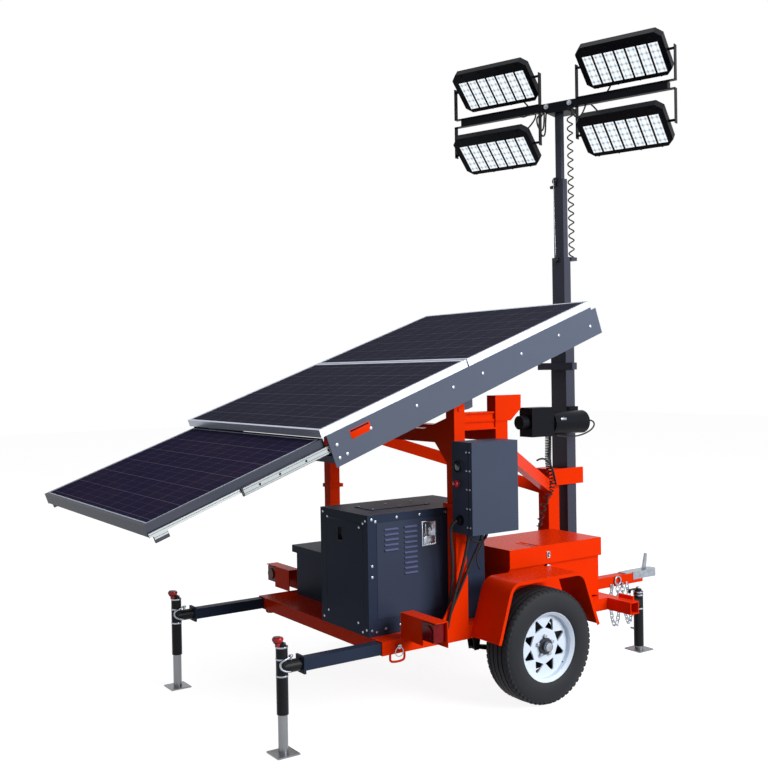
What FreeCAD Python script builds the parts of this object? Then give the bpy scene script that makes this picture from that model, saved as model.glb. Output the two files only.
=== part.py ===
import FreeCAD, Part
import math
import os

from FreeCAD import Vector as V

# Mobile light tower on a single-axle trailer. Millimetres, +X forward to the coupler, +Y to the
# trailer's left, +Z up. Every size below is measured from the wheel axis (X = 0), the middle of the
# trailer (Y = 0) and the ground (Z = 0); put() moves the finished pieces to the middle of the whole.

# wheels and axle
TYRE_R = 338.0
TYRE_W = 205.0
TYRE_Y = 875.3
RIM_R = 208.4
SPINDLE_R = 20.0
AXLE_HALF = 30.0
FIT = 0.3
RUN = 0.05

# chassis
RAIL = 76.2
RAIL_WALL = 6.0
RAIL_Y = 725.7
RAIL_Z = 405.2
REAR_X = -1005.9
TUBE_X = 734.1
TUBE_Y = 917.1
CROSS_X = (-240.0, 240.0)
NOSE_X = 2005.0
COUPLER_LEN = 271.0
TONGUE_IN = 109.0
TONGUE_X = NOSE_X - COUPLER_LEN + TONGUE_IN
BALL_R = 25.6

# outriggers and jacks
RIGGER = 63.5
RIGGER_X = (-1483.0, -450.0)
JACK_R = 31.0
LEG_R = 25.5
MOUNT_R = 28.0
JACK_ARM = 117.7
JACK_TOP = 555.0
JACK_LEN = 350.0
FRONT_JACK_Y = 808.0
FRONT_JACK_TOP = 512.0
FRONT_FOOT_Z = 135.0

# tower frame above the chassis
POST_X = (-488.0, -411.8)
POST_TOP = 1755.0
SHORT_X = (-180.0, -87.0)
SHORT_Z = (1455.0, 1797.0)
BEAM_Z = 1530.0
ARM_Z = (1602.0, 1705.0)
PIVOT = (-450.0, 1725.0)
PIVOT_R = 12.0

# solar array: u along the slope from the low edge of the fixed panels, w square to it
TILT = 20.08
ARRAY_X = -1440.5
ARRAY_Z = 1656.0
PANEL_U = 1021.7
PANEL_GAP = 10.0
PANEL_Y = 830.7
PANEL_T = 42.0
SIDE_U = (26.0, 2094.0)
SIDE_W = (-220.0, -58.0)
DRAWER_Y = 800.0
DRAWER_U = (-1003.0, 20.0)
DRAWER_W = (-115.0, -55.0)

# mast and lamp head
MAST_X = 1076.8
MAST = (
    # node, size along X, size along Y, bottom, top
    ("mast_base", 84.0, 150.0, 415.2, 2268.0),
    ("mast_second", 63.0, 121.0, 950.0, 2742.0),
    ("mast_third", 42.0, 96.0, 1530.0, 3296.0),
    ("mast_top", 32.0, 56.0, 1990.0, 3765.0),
)
CORD_R = 22.0
CORD_Z = 2740.0
CORD_AT = (60.0, -45.0)
HEAD_TURN = 19.5
BAR = 50.8
BAR_Z = 3822.0
BAR_HALF = 805.0
LAMP_W = 620.0
LAMP_H = 340.0
LAMP_D = 76.0
LAMP_X = -14.0
LAMP_S = 500.0
LAMP_RISE = 238.0
LAMP_TILT = 49.0

TRAILER_Z = RAIL_Z + RAIL


def turned(shape, centre, axis, angle):
    new = shape.copy()
    new.rotate(centre, axis, angle)
    return new


def box(x0, x1, y0, y1, z0, z1):
    return Part.makeBox(x1 - x0, y1 - y0, z1 - z0, V(x0, y0, z0))


def rod(radius, start, end):
    start, end = V(*start), V(*end)
    return Part.makeCylinder(radius, (end - start).Length, start, end - start)


def prism(points, axis, start, depth):
    """Extrude a flat outline given in the two axes other than 'axis', in X, Y, Z order."""
    place = {
        "x": lambda a, b: V(start, a, b),
        "y": lambda a, b: V(a, start, b),
        "z": lambda a, b: V(a, b, start),
    }[axis]
    push = {"x": V(depth, 0, 0), "y": V(0, depth, 0), "z": V(0, 0, depth)}[axis]
    corners = [place(a, b) for a, b in points]
    return Part.Face(Part.makePolygon(corners + corners[:1])).extrude(push)


def both_sides(make):
    """A shape made for the left side (+Y) and its mirror image on the right."""
    left = make()
    return [left, left.mirror(V(0, 0, 0), V(0, 1, 0))]


def fuse(shapes):
    shapes = list(shapes)
    return shapes[0].fuse(shapes[1:]).removeSplitter() if len(shapes) > 1 else shapes[0]


def rounded_path(points, radius):
    """Straight runs through the points, joined by tangent arcs."""
    points = [V(*p) for p in points]
    edges = []
    last = points[0]
    for before, corner, after in zip(points, points[1:], points[2:]):
        a = (before - corner).normalize()
        b = (after - corner).normalize()
        half = math.acos(max(-1.0, min(1.0, a.dot(b)))) / 2
        run = radius / math.tan(half)
        start = corner + a * run
        end = corner + b * run
        middle = (a + b).normalize()
        top = corner + middle * (radius / math.sin(half) - radius)
        if (start - last).Length > 1e-6:
            edges.append(Part.makeLine(last, start))
        edges.append(Part.Arc(start, top, end).toShape())
        last = end
    edges.append(Part.makeLine(last, points[-1]))
    return Part.Wire(edges)


def bent_rod(points, bend, radius):
    path = rounded_path(points, bend)
    first = V(*points[0])
    ring = Part.Wire(Part.makeCircle(radius, first, V(*points[1]) - first))
    return path.makePipeShell([ring], True, True)


def beam(start, end, width, height):
    """A straight bar of rectangular section between two points, its height as upright as it can be."""
    start, end = V(*start), V(*end)
    along = (end - start).normalize()
    side = along.cross(V(0, 0, 1)).normalize() * (width / 2)
    up = side.cross(along).normalize() * (height / 2)
    corners = [start + side + up, start + side - up, start - side - up, start - side + up]
    return Part.Face(Part.makePolygon(corners + corners[:1])).extrude(end - start)


def square_tube_x(x0, x1, y, z, size, wall):
    half = size / 2
    inner = half - wall
    outside = box(x0, x1, y - half, y + half, z - half, z + half)
    return outside.cut(box(x0 - 1, x1 + 1, y - inner, y + inner, z - inner, z + inner))


# chassis

RAIL_MID_Y = RAIL_Y - RAIL / 2
RAIL_MID_Z = RAIL_Z + RAIL / 2
RAIL_IN_Y = RAIL_Y - RAIL


def side_rails():
    return both_sides(lambda: square_tube_x(REAR_X, TUBE_X, RAIL_MID_Y, RAIL_MID_Z, RAIL, RAIL_WALL))


def cross_members():
    pieces = [
        box(x, x + RAIL, -RAIL_IN_Y, RAIL_IN_Y, RAIL_Z, TRAILER_Z)
        for x in (REAR_X,) + CROSS_X
    ]
    pieces.append(box(REAR_X + RAIL, CROSS_X[0], -RAIL_IN_Y, RAIL_IN_Y, TRAILER_Z - 6, TRAILER_Z))
    half = RAIL / 2 - RAIL_WALL
    middle = TUBE_X + RAIL / 2
    tube = box(TUBE_X, TUBE_X + RAIL, -TUBE_Y, TUBE_Y, RAIL_Z, TRAILER_Z)
    low, high = RAIL_MID_Z - half, RAIL_MID_Z + half
    for side in (-1, 1):
        inner = sorted((side * 600.0, side * (TUBE_Y + 1)))
        tube = tube.cut(box(middle - half, middle + half, inner[0], inner[1], low, high))
    return [fuse(pieces), tube]


def tongue():
    return [box(CROSS_X[1], TONGUE_X, -RAIL / 2, RAIL / 2, RAIL_Z - RAIL, RAIL_Z)]


def coupler():
    """A straight coupler: a channel over the tongue's end, closed to a rounded nose over the ball."""
    low, high = RAIL_Z - 50, RAIL_Z + 6
    wide = RAIL / 2 + 5
    ball_x = NOSE_X - 48
    tail = NOSE_X - COUPLER_LEN
    outline = (
        (tail, -wide), (ball_x - 50, -wide), (ball_x, -44),
        (ball_x, 44), (ball_x - 50, wide), (tail, wide),
    )
    shape = fuse([prism(outline, "z", low, high - low), Part.makeCylinder(48, high - low, V(ball_x, 0, low))])
    shape = shape.cut(box(tail - 1, TONGUE_X, -RAIL / 2, RAIL / 2, low - 1, RAIL_Z))
    shape = shape.cut(Part.makeCylinder(BALL_R, 36, V(ball_x, 0, low - 1)))
    plate = box(tail - 77, tail, -RAIL / 2, RAIL / 2, RAIL_Z, high)
    lever = (
        (ball_x - 76, high - 1), (ball_x - 44, high - 1),
        (ball_x - 28, high + 115), (ball_x - 44, high + 118),
    )
    lever = prism(lever, "y", -9, 18)
    return [fuse([shape, plate, lever])]


def axle():
    beam_half = TYRE_Y - 115.0
    pieces = [box(-AXLE_HALF, AXLE_HALF, -beam_half, beam_half, TYRE_R - AXLE_HALF, TYRE_R + AXLE_HALF)]
    for side in (-1, 1):
        pieces.append(rod(SPINDLE_R, (0, side * (beam_half - 10), TYRE_R), (0, side * (TYRE_Y + 35), TYRE_R)))
    return [fuse(pieces)]


def leaf_springs():
    """Springs under the axle, each a bowed pack of leaves with its eyes between two hanger plates."""
    seat = TYRE_R - AXLE_HALF
    end = RAIL_Z - 53
    half = 22.5

    def one():
        outline = Part.Wire([
            Part.Arc(V(-330, 0, end), V(0, 0, seat), V(330, 0, end)).toShape(),
            Part.makeLine(V(330, 0, end), V(330, 0, end - 22)),
            Part.Arc(V(330, 0, end - 22), V(0, 0, seat - 26), V(-330, 0, end - 22)).toShape(),
            Part.makeLine(V(-330, 0, end - 22), V(-330, 0, end)),
        ])
        spring = Part.Face(outline).extrude(V(0, 2 * half, 0))
        spring.translate(V(0, RAIL_MID_Y - half, 0))
        eyes = [rod(16, (x, RAIL_MID_Y - half, end - 11), (x, RAIL_MID_Y + half, end - 11)) for x in (-338, 338)]
        hollow = box(-AXLE_HALF, AXLE_HALF, 0, RAIL_Y, seat - FIT, TYRE_R + AXLE_HALF)
        parts = [fuse([spring] + eyes).cut(hollow)]
        parts.append(box(-45, 45, RAIL_MID_Y - 30, RAIL_MID_Y + 30, seat - 36, seat - 24))
        for x in (-338, 338):
            for y in (RAIL_MID_Y - half - 6, RAIL_MID_Y + half):
                sides = ((x - 30, RAIL_Z), (x + 30, RAIL_Z), (x + 16, end - 27), (x - 16, end - 27))
                parts.append(prism(sides, "y", y, 6))
        return fuse(parts)
    return both_sides(one)


def strip(points, bend, thickness):
    """Outline of a bent sheet whose outer face follows the points (x, z), with its outer bend radius."""
    def run(offset):
        moved = []
        for i, p in enumerate(points):
            normals = []
            for a, b in ((i - 1, i), (i, i + 1)):
                if a < 0 or b >= len(points):
                    continue
                dx = points[b][0] - points[a][0]
                dz = points[b][1] - points[a][1]
                length = math.hypot(dx, dz)
                normals.append((dz / length, -dx / length))
            nx = sum(n[0] for n in normals)
            nz = sum(n[1] for n in normals)
            scale = len(normals) * offset / (nx * nx + nz * nz)
            moved.append((p[0] + nx * scale, 0, p[1] + nz * scale))
        return moved
    outer = rounded_path(run(0), bend)
    inner = rounded_path(run(thickness), bend - thickness)
    ends = [
        Part.makeLine(outer.Vertexes[0].Point, inner.Vertexes[0].Point),
        Part.makeLine(outer.Vertexes[-1].Point, inner.Vertexes[-1].Point),
    ]
    return Part.Face(Part.Wire(Part.__sortEdges__(outer.Edges + inner.Edges + ends)))


FENDER_TOP = 2 * TYRE_R + 71.0
FENDER = (
    (-TYRE_R - 54.0, TYRE_R + 78.0), (-TYRE_R + 53.0, FENDER_TOP),
    (TYRE_R - 58.0, FENDER_TOP), (TYRE_R + 63.6, TYRE_R + 76.6),
)
FENDER_BEND = 90.0
FENDER_Y = 974.5


def fenders():
    def one():
        sheet = strip(FENDER, FENDER_BEND, 3.0).extrude(V(0, FENDER_Y - RAIL_Y, 0))
        sheet.translate(V(0, RAIL_Y, 0))
        lip = strip(FENDER, FENDER_BEND, 20.0).extrude(V(0, 3, 0))
        lip.translate(V(0, FENDER_Y - 3, 0))
        return fuse([sheet, lip])
    return both_sides(one)


# front box

BOX = (-6.8, 775.6, -636.6, -177.4)
BOX_TOP = 852.9
BOX_SKIRT = 115.0
BOX_SHEET = 3.0
BOX_LID_GAP = 5.0
# the near side of the skirt swings in by this much before it has risen past the body
BOX_SWING = BOX_SKIRT ** 2 / (2 * (BOX[3] - BOX[2])) + 2.0
HINGE_R = 6.0
HINGE_PIN_R = 3.0
BOX_HINGE = (BOX[3] + HINGE_R - 1.0, BOX_TOP - BOX_SKIRT)


def hinge_x(x0, x1, y, z, carrier):
    """A hinge barrel along X from x0 to x1, its middle third left out for the carrier of the pin."""
    third = (x1 - x0) / 3
    pin = rod(HINGE_PIN_R, (x0 + 1, y, z), (x1 - 1, y, z))
    middle = rod(HINGE_R, (x0 + third + FIT, y, z), (x1 - third - FIT, y, z))
    if carrier:
        return fuse([pin, middle])
    bore = rod(HINGE_PIN_R + RUN, (x0 - 1, y, z), (x1 + 1, y, z))
    return [
        rod(HINGE_R, (a, y, z), (b, y, z)).cut(bore)
        for a, b in ((x0, x0 + third), (x1 - third, x1))
    ]


BOX_HINGES = ((90.0, 180.0), (590.0, 680.0))


def front_box():
    x0, x1, y0, y1 = BOX
    t = BOX_SHEET
    inset = t + BOX_LID_GAP
    far = y1 - t - FIT
    near = y0 + t + BOX_SWING
    shell = box(x0 + inset, x1 - inset, near, far, TRAILER_Z, BOX_TOP - t - BOX_LID_GAP)
    shell = shell.cut(box(x0 + inset + t, x1 - inset - t, near + t, far - t, TRAILER_Z + t, BOX_TOP))
    y, z = BOX_HINGE
    pieces = [shell]
    for a, b in BOX_HINGES:
        third = (b - a) / 3
        pieces.append(hinge_x(a, b, y, z, True))
        leaf = box(a + third + FIT, b - third - FIT, far - 1, y + 1, z - HINGE_R - 24, z - HINGE_R + 2)
        pieces.append(leaf)
    return [fuse(pieces)]


def front_box_lid():
    x0, x1, y0, y1 = BOX
    t = BOX_SHEET
    low = BOX_TOP - BOX_SKIRT
    lid = box(x0, x1, y0, y1, low, BOX_TOP)
    lid = lid.cut(box(x0 + t, x1 - t, y0 + t, y1 - t, low - 1, BOX_TOP - t))
    y, z = BOX_HINGE
    pieces = [lid]
    for a, b in BOX_HINGES:
        pieces += hinge_x(a, b, y, z, False)
    for a, b in BOX_HINGES:
        third = (b - a) / 3
        room = box(a + third - 0.5, b - third + 0.5, y1 - t - 1, y1 + 20, z - 1, z + HINGE_R + 1.5)
        pieces[0] = pieces[0].cut(room)
        bore = rod(HINGE_PIN_R + RUN, (a - 1, y, z), (b + 1, y, z))
        pieces[0] = pieces[0].cut(bore)
    return [fuse(pieces)]


# tower frame

def tower_posts():
    def one():
        post = box(POST_X[0], POST_X[1], RAIL_IN_Y, RAIL_Y, TRAILER_Z, POST_TOP)
        pin = rod(PIVOT_R, (PIVOT[0], WEB_Y[0] - 8, PIVOT[1]), (PIVOT[0], RAIL_Y + 6, PIVOT[1]))
        flange = box(POST_X[0] - 14, POST_X[1] + 14, RAIL_IN_Y - 22, RAIL_Y, 1164, 1188)
        return fuse([post, pin, flange])
    return both_sides(one)


def tower_gussets():
    front = POST_X[1]
    sides = ((-594, RAIL_Z), (front, RAIL_Z), (front, 791), (front - 14, 791), (-594, 543))
    return both_sides(lambda: prism(sides, "y", RAIL_Y, 8))


def tower_beam():
    """The cross beam between the tower posts, with a knee below and a gusset above at each end."""
    rear, front = POST_X
    top = BEAM_Z + RAIL
    pieces = [box(rear, front, -RAIL_IN_Y, RAIL_IN_Y, BEAM_Z, top)]
    for side in (-1, 1):
        end = side * RAIL_IN_Y
        knee = ((end, BEAM_Z), (side * (RAIL_IN_Y - 110), BEAM_Z), (end, BEAM_Z - 110))
        gusset = ((end, top), (end, top + 68), (side * (RAIL_IN_Y - 210), top))
        pieces.append(prism(knee, "x", rear, 8))
        pieces.append(prism(gusset, "x", rear, 8))
    return [fuse(pieces)]


def tower_arms():
    """Grooved arms from the tower posts to the short posts, with the bracket plates for the braces."""
    low, high = ARM_Z

    def one():
        arm = box(POST_X[1], SHORT_X[0], RAIL_IN_Y, RAIL_Y, low, high)
        for z in (low + 11, low + 58):
            arm = arm.cut(box(POST_X[1] - 1, SHORT_X[0] + 1, RAIL_Y - 10, RAIL_Y + 1, z, z + 34))
        post = box(SHORT_X[0], SHORT_X[1], RAIL_IN_Y, RAIL_Y, SHORT_Z[0], SHORT_Z[1])
        rear, front = SHORT_X[0] - 6, SHORT_X[1]
        top = SHORT_Z[1] + 2
        plate = (
            (rear, low + 45), (front + 18, low + 45), (front + 98, high + 11),
            (front + 100, top), (rear, top),
        )
        return fuse([arm, post, prism(plate, "y", RAIL_Y, 8)])
    return both_sides(one)


def tower_crossbar():
    return [box(SHORT_X[0], SHORT_X[1], -RAIL_IN_Y, RAIL_IN_Y, BEAM_Z, BEAM_Z + RAIL)]


# mast post and braces

MAST_POST = (873.4, 975.0)
CLAMP_X = (847.0, 1178.0)
CLAMP_Z = (1131.0, 1245.0)
CLAMP_T = 12.0


def mast_post():
    x0, x1 = MAST_POST
    half = (x1 - x0) / 2
    hold = MAST[0][2] / 2 + FIT
    pieces = [
        box(x0, x1, -half, half, RAIL_Z, CLAMP_Z[1]),
        box(x0, x1, -hold, hold, CLAMP_Z[0], CLAMP_Z[1]),
    ]
    for side in (-1, 1):
        y = sorted((side * hold, side * (hold + CLAMP_T)))
        pieces.append(box(CLAMP_X[0], CLAMP_X[1], y[0], y[1], CLAMP_Z[0], CLAMP_Z[1]))
    return [fuse(pieces)]


def braces():
    def one():
        start = (SHORT_X[1] - 33, RAIL_MID_Y - 8, BEAM_Z - 34)
        end = (MAST_POST[0] + 26.6, 40, CLAMP_Z[0] - 27)
        bar = beam(start, end, 50.8, 80)
        rear, front = SHORT_X[0] - 200, SHORT_X[1]
        bar = bar.cut(box(rear, front, RAIL_IN_Y - 60, RAIL_Y + 60, SHORT_Z[0] - 200, SHORT_Z[1]))
        bar = bar.cut(box(rear, front, -RAIL_IN_Y, RAIL_IN_Y, BEAM_Z - 1, BEAM_Z + RAIL))
        half = (MAST_POST[1] - MAST_POST[0]) / 2
        bar = bar.cut(box(MAST_POST[0], CLAMP_X[1], -half, half, RAIL_Z, CLAMP_Z[1]))
        wide = MAST[0][2] / 2 + FIT + CLAMP_T
        bar = bar.cut(box(CLAMP_X[0], CLAMP_X[1], -wide, wide, CLAMP_Z[0], CLAMP_Z[1]))
        return bar.cut(box(rear, CLAMP_X[1], -RAIL_Y, 0, RAIL_Z, 2 * BEAM_Z))
    return both_sides(one)


# generator, batteries and controls

GEN = (-1010.9, -180.2, -606.5, -99.8)
GEN_TOP = 1155.7
GEN_SHEET = 3.0
GEN_PANEL = (-952.0, -492.0, 576.0, 1110.0)
LOUVRES = (
    # first x, last x, lowest z, top z
    (-900.0, -808.0, 956.0, 1072.0),
    (-765.0, -678.0, 813.0, 1074.0),
)
LOUVRE_PITCH = 29.0
LOUVRE_H = 10.0


def generator_housing():
    x0, x1, y0, y1 = GEN
    t = GEN_SHEET
    shell = box(x0, x1, y0, y1, TRAILER_Z, GEN_TOP)
    shell = shell.cut(box(x0 + t, x1 - t, y0 + t, y1 - t, TRAILER_Z + t, GEN_TOP - t))
    a, b, low, high = GEN_PANEL
    shell = shell.cut(box(a, b, y0 - 1, y0 + t + 1, low, high))
    shell = shell.cut(box(x0 - 1, x0 + t + 1, -351, -290, 982, 1063))
    hatch = box(-873, -456, -440, -260, GEN_TOP, GEN_TOP + 3)
    return [fuse([shell, hatch])]


def generator_panel():
    """The lift-off side panel with its two columns of louvres, each a slot under a pressed hood."""
    y0 = GEN[2]
    a, b, low, high = GEN_PANEL
    door = box(a + FIT, b - FIT, y0 - 2, y0 + 6, low + FIT, high - FIT)
    for x0, x1, lowest, top in LOUVRES:
        for i in range(round((top - lowest) / LOUVRE_PITCH) + 1):
            z = top - LOUVRE_PITCH * i
            door = door.cut(box(x0, x1, y0 - 3, y0 + 7, z - LOUVRE_H, z))
            lip = ((y0 - 1, z + 3), (y0 - 11, z - 7), (y0 - 9, z - 9), (y0 - 1, z - 1))
            hood = prism(lip, "x", x0, x1 - x0)
            door = door.fuse(hood)
    return [door.removeSplitter()]


# room round the engine block inside the housing: rear, front, near, far and above
BLOCK_ROOM = (110.9, 119.8, 66.5, 70.2, 195.7)


def generator_block():
    x0, x1, y0, y1 = GEN
    rear, front, near, far, above = BLOCK_ROOM
    floor = TRAILER_Z + GEN_SHEET
    return [box(x0 + rear, x1 - front, y0 + near, y1 - far, floor, GEN_TOP - above)]


BATTERY = (-779.0, -314.0, 62.0, 612.0)
BATTERY_TOP = 773.0
BATTERY_LID = (24.0, 763.0, 809.0)
BATTERY_PIN = (BATTERY[1] + BATTERY_LID[0] + HINGE_R + 0.5, 770.0)
BATTERY_HINGES = ((137.0, 227.0), (447.0, 537.0))


def hinge_y(y0, y1, carrier):
    """A hinge barrel along Y in front of the battery lid, its middle third left for the carrier."""
    x, z = BATTERY_PIN
    third = (y1 - y0) / 3
    if carrier:
        pin = rod(HINGE_PIN_R, (x, y0 + 1, z), (x, y1 - 1, z))
        return fuse([pin, rod(HINGE_R, (x, y0 + third + FIT, z), (x, y1 - third - FIT, z))])
    bore = rod(HINGE_PIN_R + RUN, (x, y0 - 1, z), (x, y1 + 1, z))
    return [
        rod(HINGE_R, (x, a, z), (x, b, z)).cut(bore)
        for a, b in ((y0, y0 + third), (y1 - third, y1))
    ]


def battery_box():
    x0, x1, y0, y1 = BATTERY
    t = 4.0
    shell = box(x0, x1, y0, y1, TRAILER_Z, BATTERY_TOP)
    pieces = [shell.cut(box(x0 + t, x1 - t, y0 + t, y1 - t, TRAILER_Z + t, BATTERY_TOP + 1))]
    x, z = BATTERY_PIN
    low = BATTERY_LID[1] - FIT
    for a, b in BATTERY_HINGES:
        third = (b - a) / 3
        pieces.append(hinge_y(a, b, True))
        pieces.append(box(x1 - 1, x + 4, a + third + 1, b - third - 1, low - 16, low - 6))
        pieces.append(box(x - 4, x + 4, a + third + 1, b - third - 1, low - 16, z - 2))
    return [fuse(pieces)]


def battery_box_lid():
    x0, x1, y0, y1 = BATTERY
    over, low, high = BATTERY_LID
    lid = box(x0 - over, x1 + over, y0 - over + 4, y1 + over - 4, low, high)
    lid = lid.cut(box(x0 - 1, x1 + 1, y0 - 1, y1 + 1, low - 1, BATTERY_TOP + FIT))
    pieces = [lid]
    x, z = BATTERY_PIN
    for a, b in BATTERY_HINGES:
        third = (b - a) / 3
        pieces += hinge_y(a, b, False)
        pieces.append(box(x1 + over - 1, x, a, a + third, z + HINGE_PIN_R + 1, z + HINGE_R))
        pieces.append(box(x1 + over - 1, x, b - third, b, z + HINGE_PIN_R + 1, z + HINGE_R))
    return [fuse(pieces)]


CONTROL = (-508.8, -170.5, -903.4, 1028.3, 1545.9)
# on its rear face: how far in from the near side, how far down from the top, radius and depth
GAUGE = (113.4, 138.9, 32.0, 12.0)
KNOB = (108.4, 234.9, 15.0, 24.0)


def control_box():
    x0, x1, y0, low, high = CONTROL
    t = 3.0
    shell = box(x0, x1, y0, -RAIL_Y, low, high)
    shell = shell.cut(box(x0 + t, x1 - t, y0 + t, -RAIL_Y - t, low + t, high - t))
    fittings = [
        rod(r, (x0 + 1, y0 + near, high - down), (x0 - deep, y0 + near, high - down))
        for near, down, r, deep in (GAUGE, KNOB)
    ]
    return [fuse([shell] + fittings)]


# lamps at the rear

LAMP_PLANE = {-1: -871.0, 1: -787.0}
REAR_LAMP_Y = (911.0, 1010.0)
REAR_LAMP_Z = (512.0, 613.0)
BRACKET_Y = (711.0, 1029.0)
BRACKET_TOP = 622.0
BRACKET_DEPTH = 83.0


def lamp_brackets():
    """Inverted channels of sheet on the rails; the lamp fills the outer part of each channel's rear."""
    y0, y1 = BRACKET_Y
    pieces = []
    for side, x in LAMP_PLANE.items():
        rear = box(x, x + 5, y0, REAR_LAMP_Y[0] - 2, TRAILER_Z, BRACKET_TOP)
        top = box(x, x + BRACKET_DEPTH, y0, y1, BRACKET_TOP - 5, BRACKET_TOP)
        front = box(x + BRACKET_DEPTH - 5, x + BRACKET_DEPTH, y0, y1, TRAILER_Z, BRACKET_TOP)
        bracket = fuse([rear, top, front])
        pieces.append(bracket if side > 0 else bracket.mirror(V(0, 0, 0), V(0, 1, 0)))
    return pieces


def tail_lamps():
    pieces = []
    for side, x in LAMP_PLANE.items():
        y = sorted(side * v for v in REAR_LAMP_Y)
        body = box(x, x + BRACKET_DEPTH - 5, y[0], y[1], REAR_LAMP_Z[0], REAR_LAMP_Z[1])
        lens = rod(38, (x + 1, side * 960.5, 562.5), (x - 8, side * 960.5, 562.5))
        pieces.append(fuse([body, lens]))
    return pieces


# outriggers and jacks

def outrigger(side):
    x0, x1 = RIGGER_X
    y = side * RAIL_MID_Y
    tube = square_tube_x(x0, x1, y, RAIL_MID_Z, RIGGER, 5.0)
    flange = box(x0 - 12, x0, y - 45, y + 45, RAIL_MID_Z - 45, RAIL_MID_Z + 45)
    stub = rod(MOUNT_R, (x0 - 12, y, RAIL_MID_Z), (x0 - 80, y, RAIL_MID_Z))
    return [fuse([tube, flange, stub])]


def jack(x, y, foot_z, facing, top, crank_x):
    """A pipe-mount jack on the vertical axis (x, y), its mount facing along X and its crank away."""
    low = top - JACK_LEN
    tube = Part.makeCylinder(JACK_R, JACK_LEN, V(x, y, low))
    leg = Part.makeCylinder(LEG_R, top - 40 - foot_z, V(x, y, foot_z))
    foot = box(x - 64, x + 64, y - 64, y + 64, foot_z, foot_z + 8)
    cap = Part.makeCylinder(22, 14, V(x, y, top))
    crank = box(x - crank_x - 9, x + 8, y - 9, y + 9, top + 13, top + 21)
    low_knob, high_knob = (top - 2, top + 14) if crank_x > 50 else (top + 20, top + 50)
    knob = Part.makeCylinder(9 if crank_x > 50 else 18, high_knob - low_knob, V(x - crank_x, y, low_knob))
    reach = JACK_ARM - 12 - FIT
    mount = rod(MOUNT_R + 5, (x, y, RAIL_MID_Z), (x + facing * reach, y, RAIL_MID_Z))
    bore = rod(MOUNT_R + RUN, (x + facing * (JACK_R + 1), y, RAIL_MID_Z), (x + facing * (reach + 1), y, RAIL_MID_Z))
    return fuse([tube, leg, foot, cap, crank, knob, mount]).cut(bore)


def rear_jack(side):
    return [jack(RIGGER_X[0] - JACK_ARM, side * RAIL_MID_Y, 0.0, 1, JACK_TOP, 28.0)]


def front_jack(side):
    return [jack(TUBE_X + RAIL + JACK_ARM, side * FRONT_JACK_Y, FRONT_FOOT_Z, -1, FRONT_JACK_TOP, 80.0)]


def front_jack_mounts():
    x = TUBE_X + RAIL
    return both_sides(lambda: fuse([
        box(x, x + 12, FRONT_JACK_Y - 60, FRONT_JACK_Y + 60, RAIL_MID_Z - 60, RAIL_MID_Z + 60),
        rod(MOUNT_R, (x + 12, FRONT_JACK_Y, RAIL_MID_Z), (x + 80, FRONT_JACK_Y, RAIL_MID_Z)),
    ]))


# wheels

def tyre(side):
    half = TYRE_W / 2
    profile = [
        (-79.5, RIM_R - 17), (-half, 265), (-90, 322), (-72, TYRE_R),
        (72, TYRE_R), (90, 322), (half, 265), (79.5, RIM_R - 17),
    ]
    points = [V(0, side * TYRE_Y + y, TYRE_R + r) for y, r in profile]
    face = Part.Face(Part.makePolygon(points + points[:1]))
    return [face.revolve(V(0, 0, TYRE_R), V(0, 1, 0), 360)]


HOLES = 8
NUTS = 5
NUT_CIRCLE = 57.0


def rim(side):
    """A white spoke wheel: flanged barrel, dished disc with eight tapered holes, hub, nuts and cap."""
    flat = RIM_R - 17.4
    profile = [
        (-88, RIM_R), (-80, flat), (80, flat), (88, RIM_R),
        (88, RIM_R - 8), (72, flat - 9), (-72, flat - 9), (-88, RIM_R - 8),
    ]
    points = [V(0, side * TYRE_Y + y, TYRE_R + r) for y, r in profile]
    barrel = Part.Face(Part.makePolygon(points + points[:1])).revolve(V(0, 0, TYRE_R), V(0, 1, 0), 360)
    out = side * (TYRE_Y + 40)
    disc = rod(flat - 6, (0, out - side * 5, TYRE_R), (0, out + side * 5, TYRE_R))
    for i in range(HOLES):
        hole = prism(((-34, 100), (34, 100), (8, 160), (-8, 160)), "y", out - 10, 20)
        hole.translate(V(0, 0, TYRE_R))
        disc = disc.cut(turned(hole, V(0, 0, TYRE_R), V(0, 1, 0), 360 / HOLES * (i + 0.5)))
    hub = rod(48, (0, out - side * 110, TYRE_R), (0, out + side * 20, TYRE_R))
    cap = rod(28, (0, out, TYRE_R), (0, out + side * 47, TYRE_R))
    bore = rod(SPINDLE_R + RUN, (0, out - side * 111, TYRE_R), (0, side * (TYRE_Y + 36), TYRE_R))
    nuts = []
    for i in range(NUTS):
        a = math.radians(360 / NUTS * i)
        x, z = NUT_CIRCLE * math.sin(a), TYRE_R + NUT_CIRCLE * math.cos(a)
        nuts.append(rod(10, (x, out, z), (x, out + side * 18, z)))
    return [fuse([barrel, disc, hub, cap] + nuts).cut(bore)]


# mast

MAST_WALL = 4.0
SPIGOT_R = 12.0
GUIDE = 80.0


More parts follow.
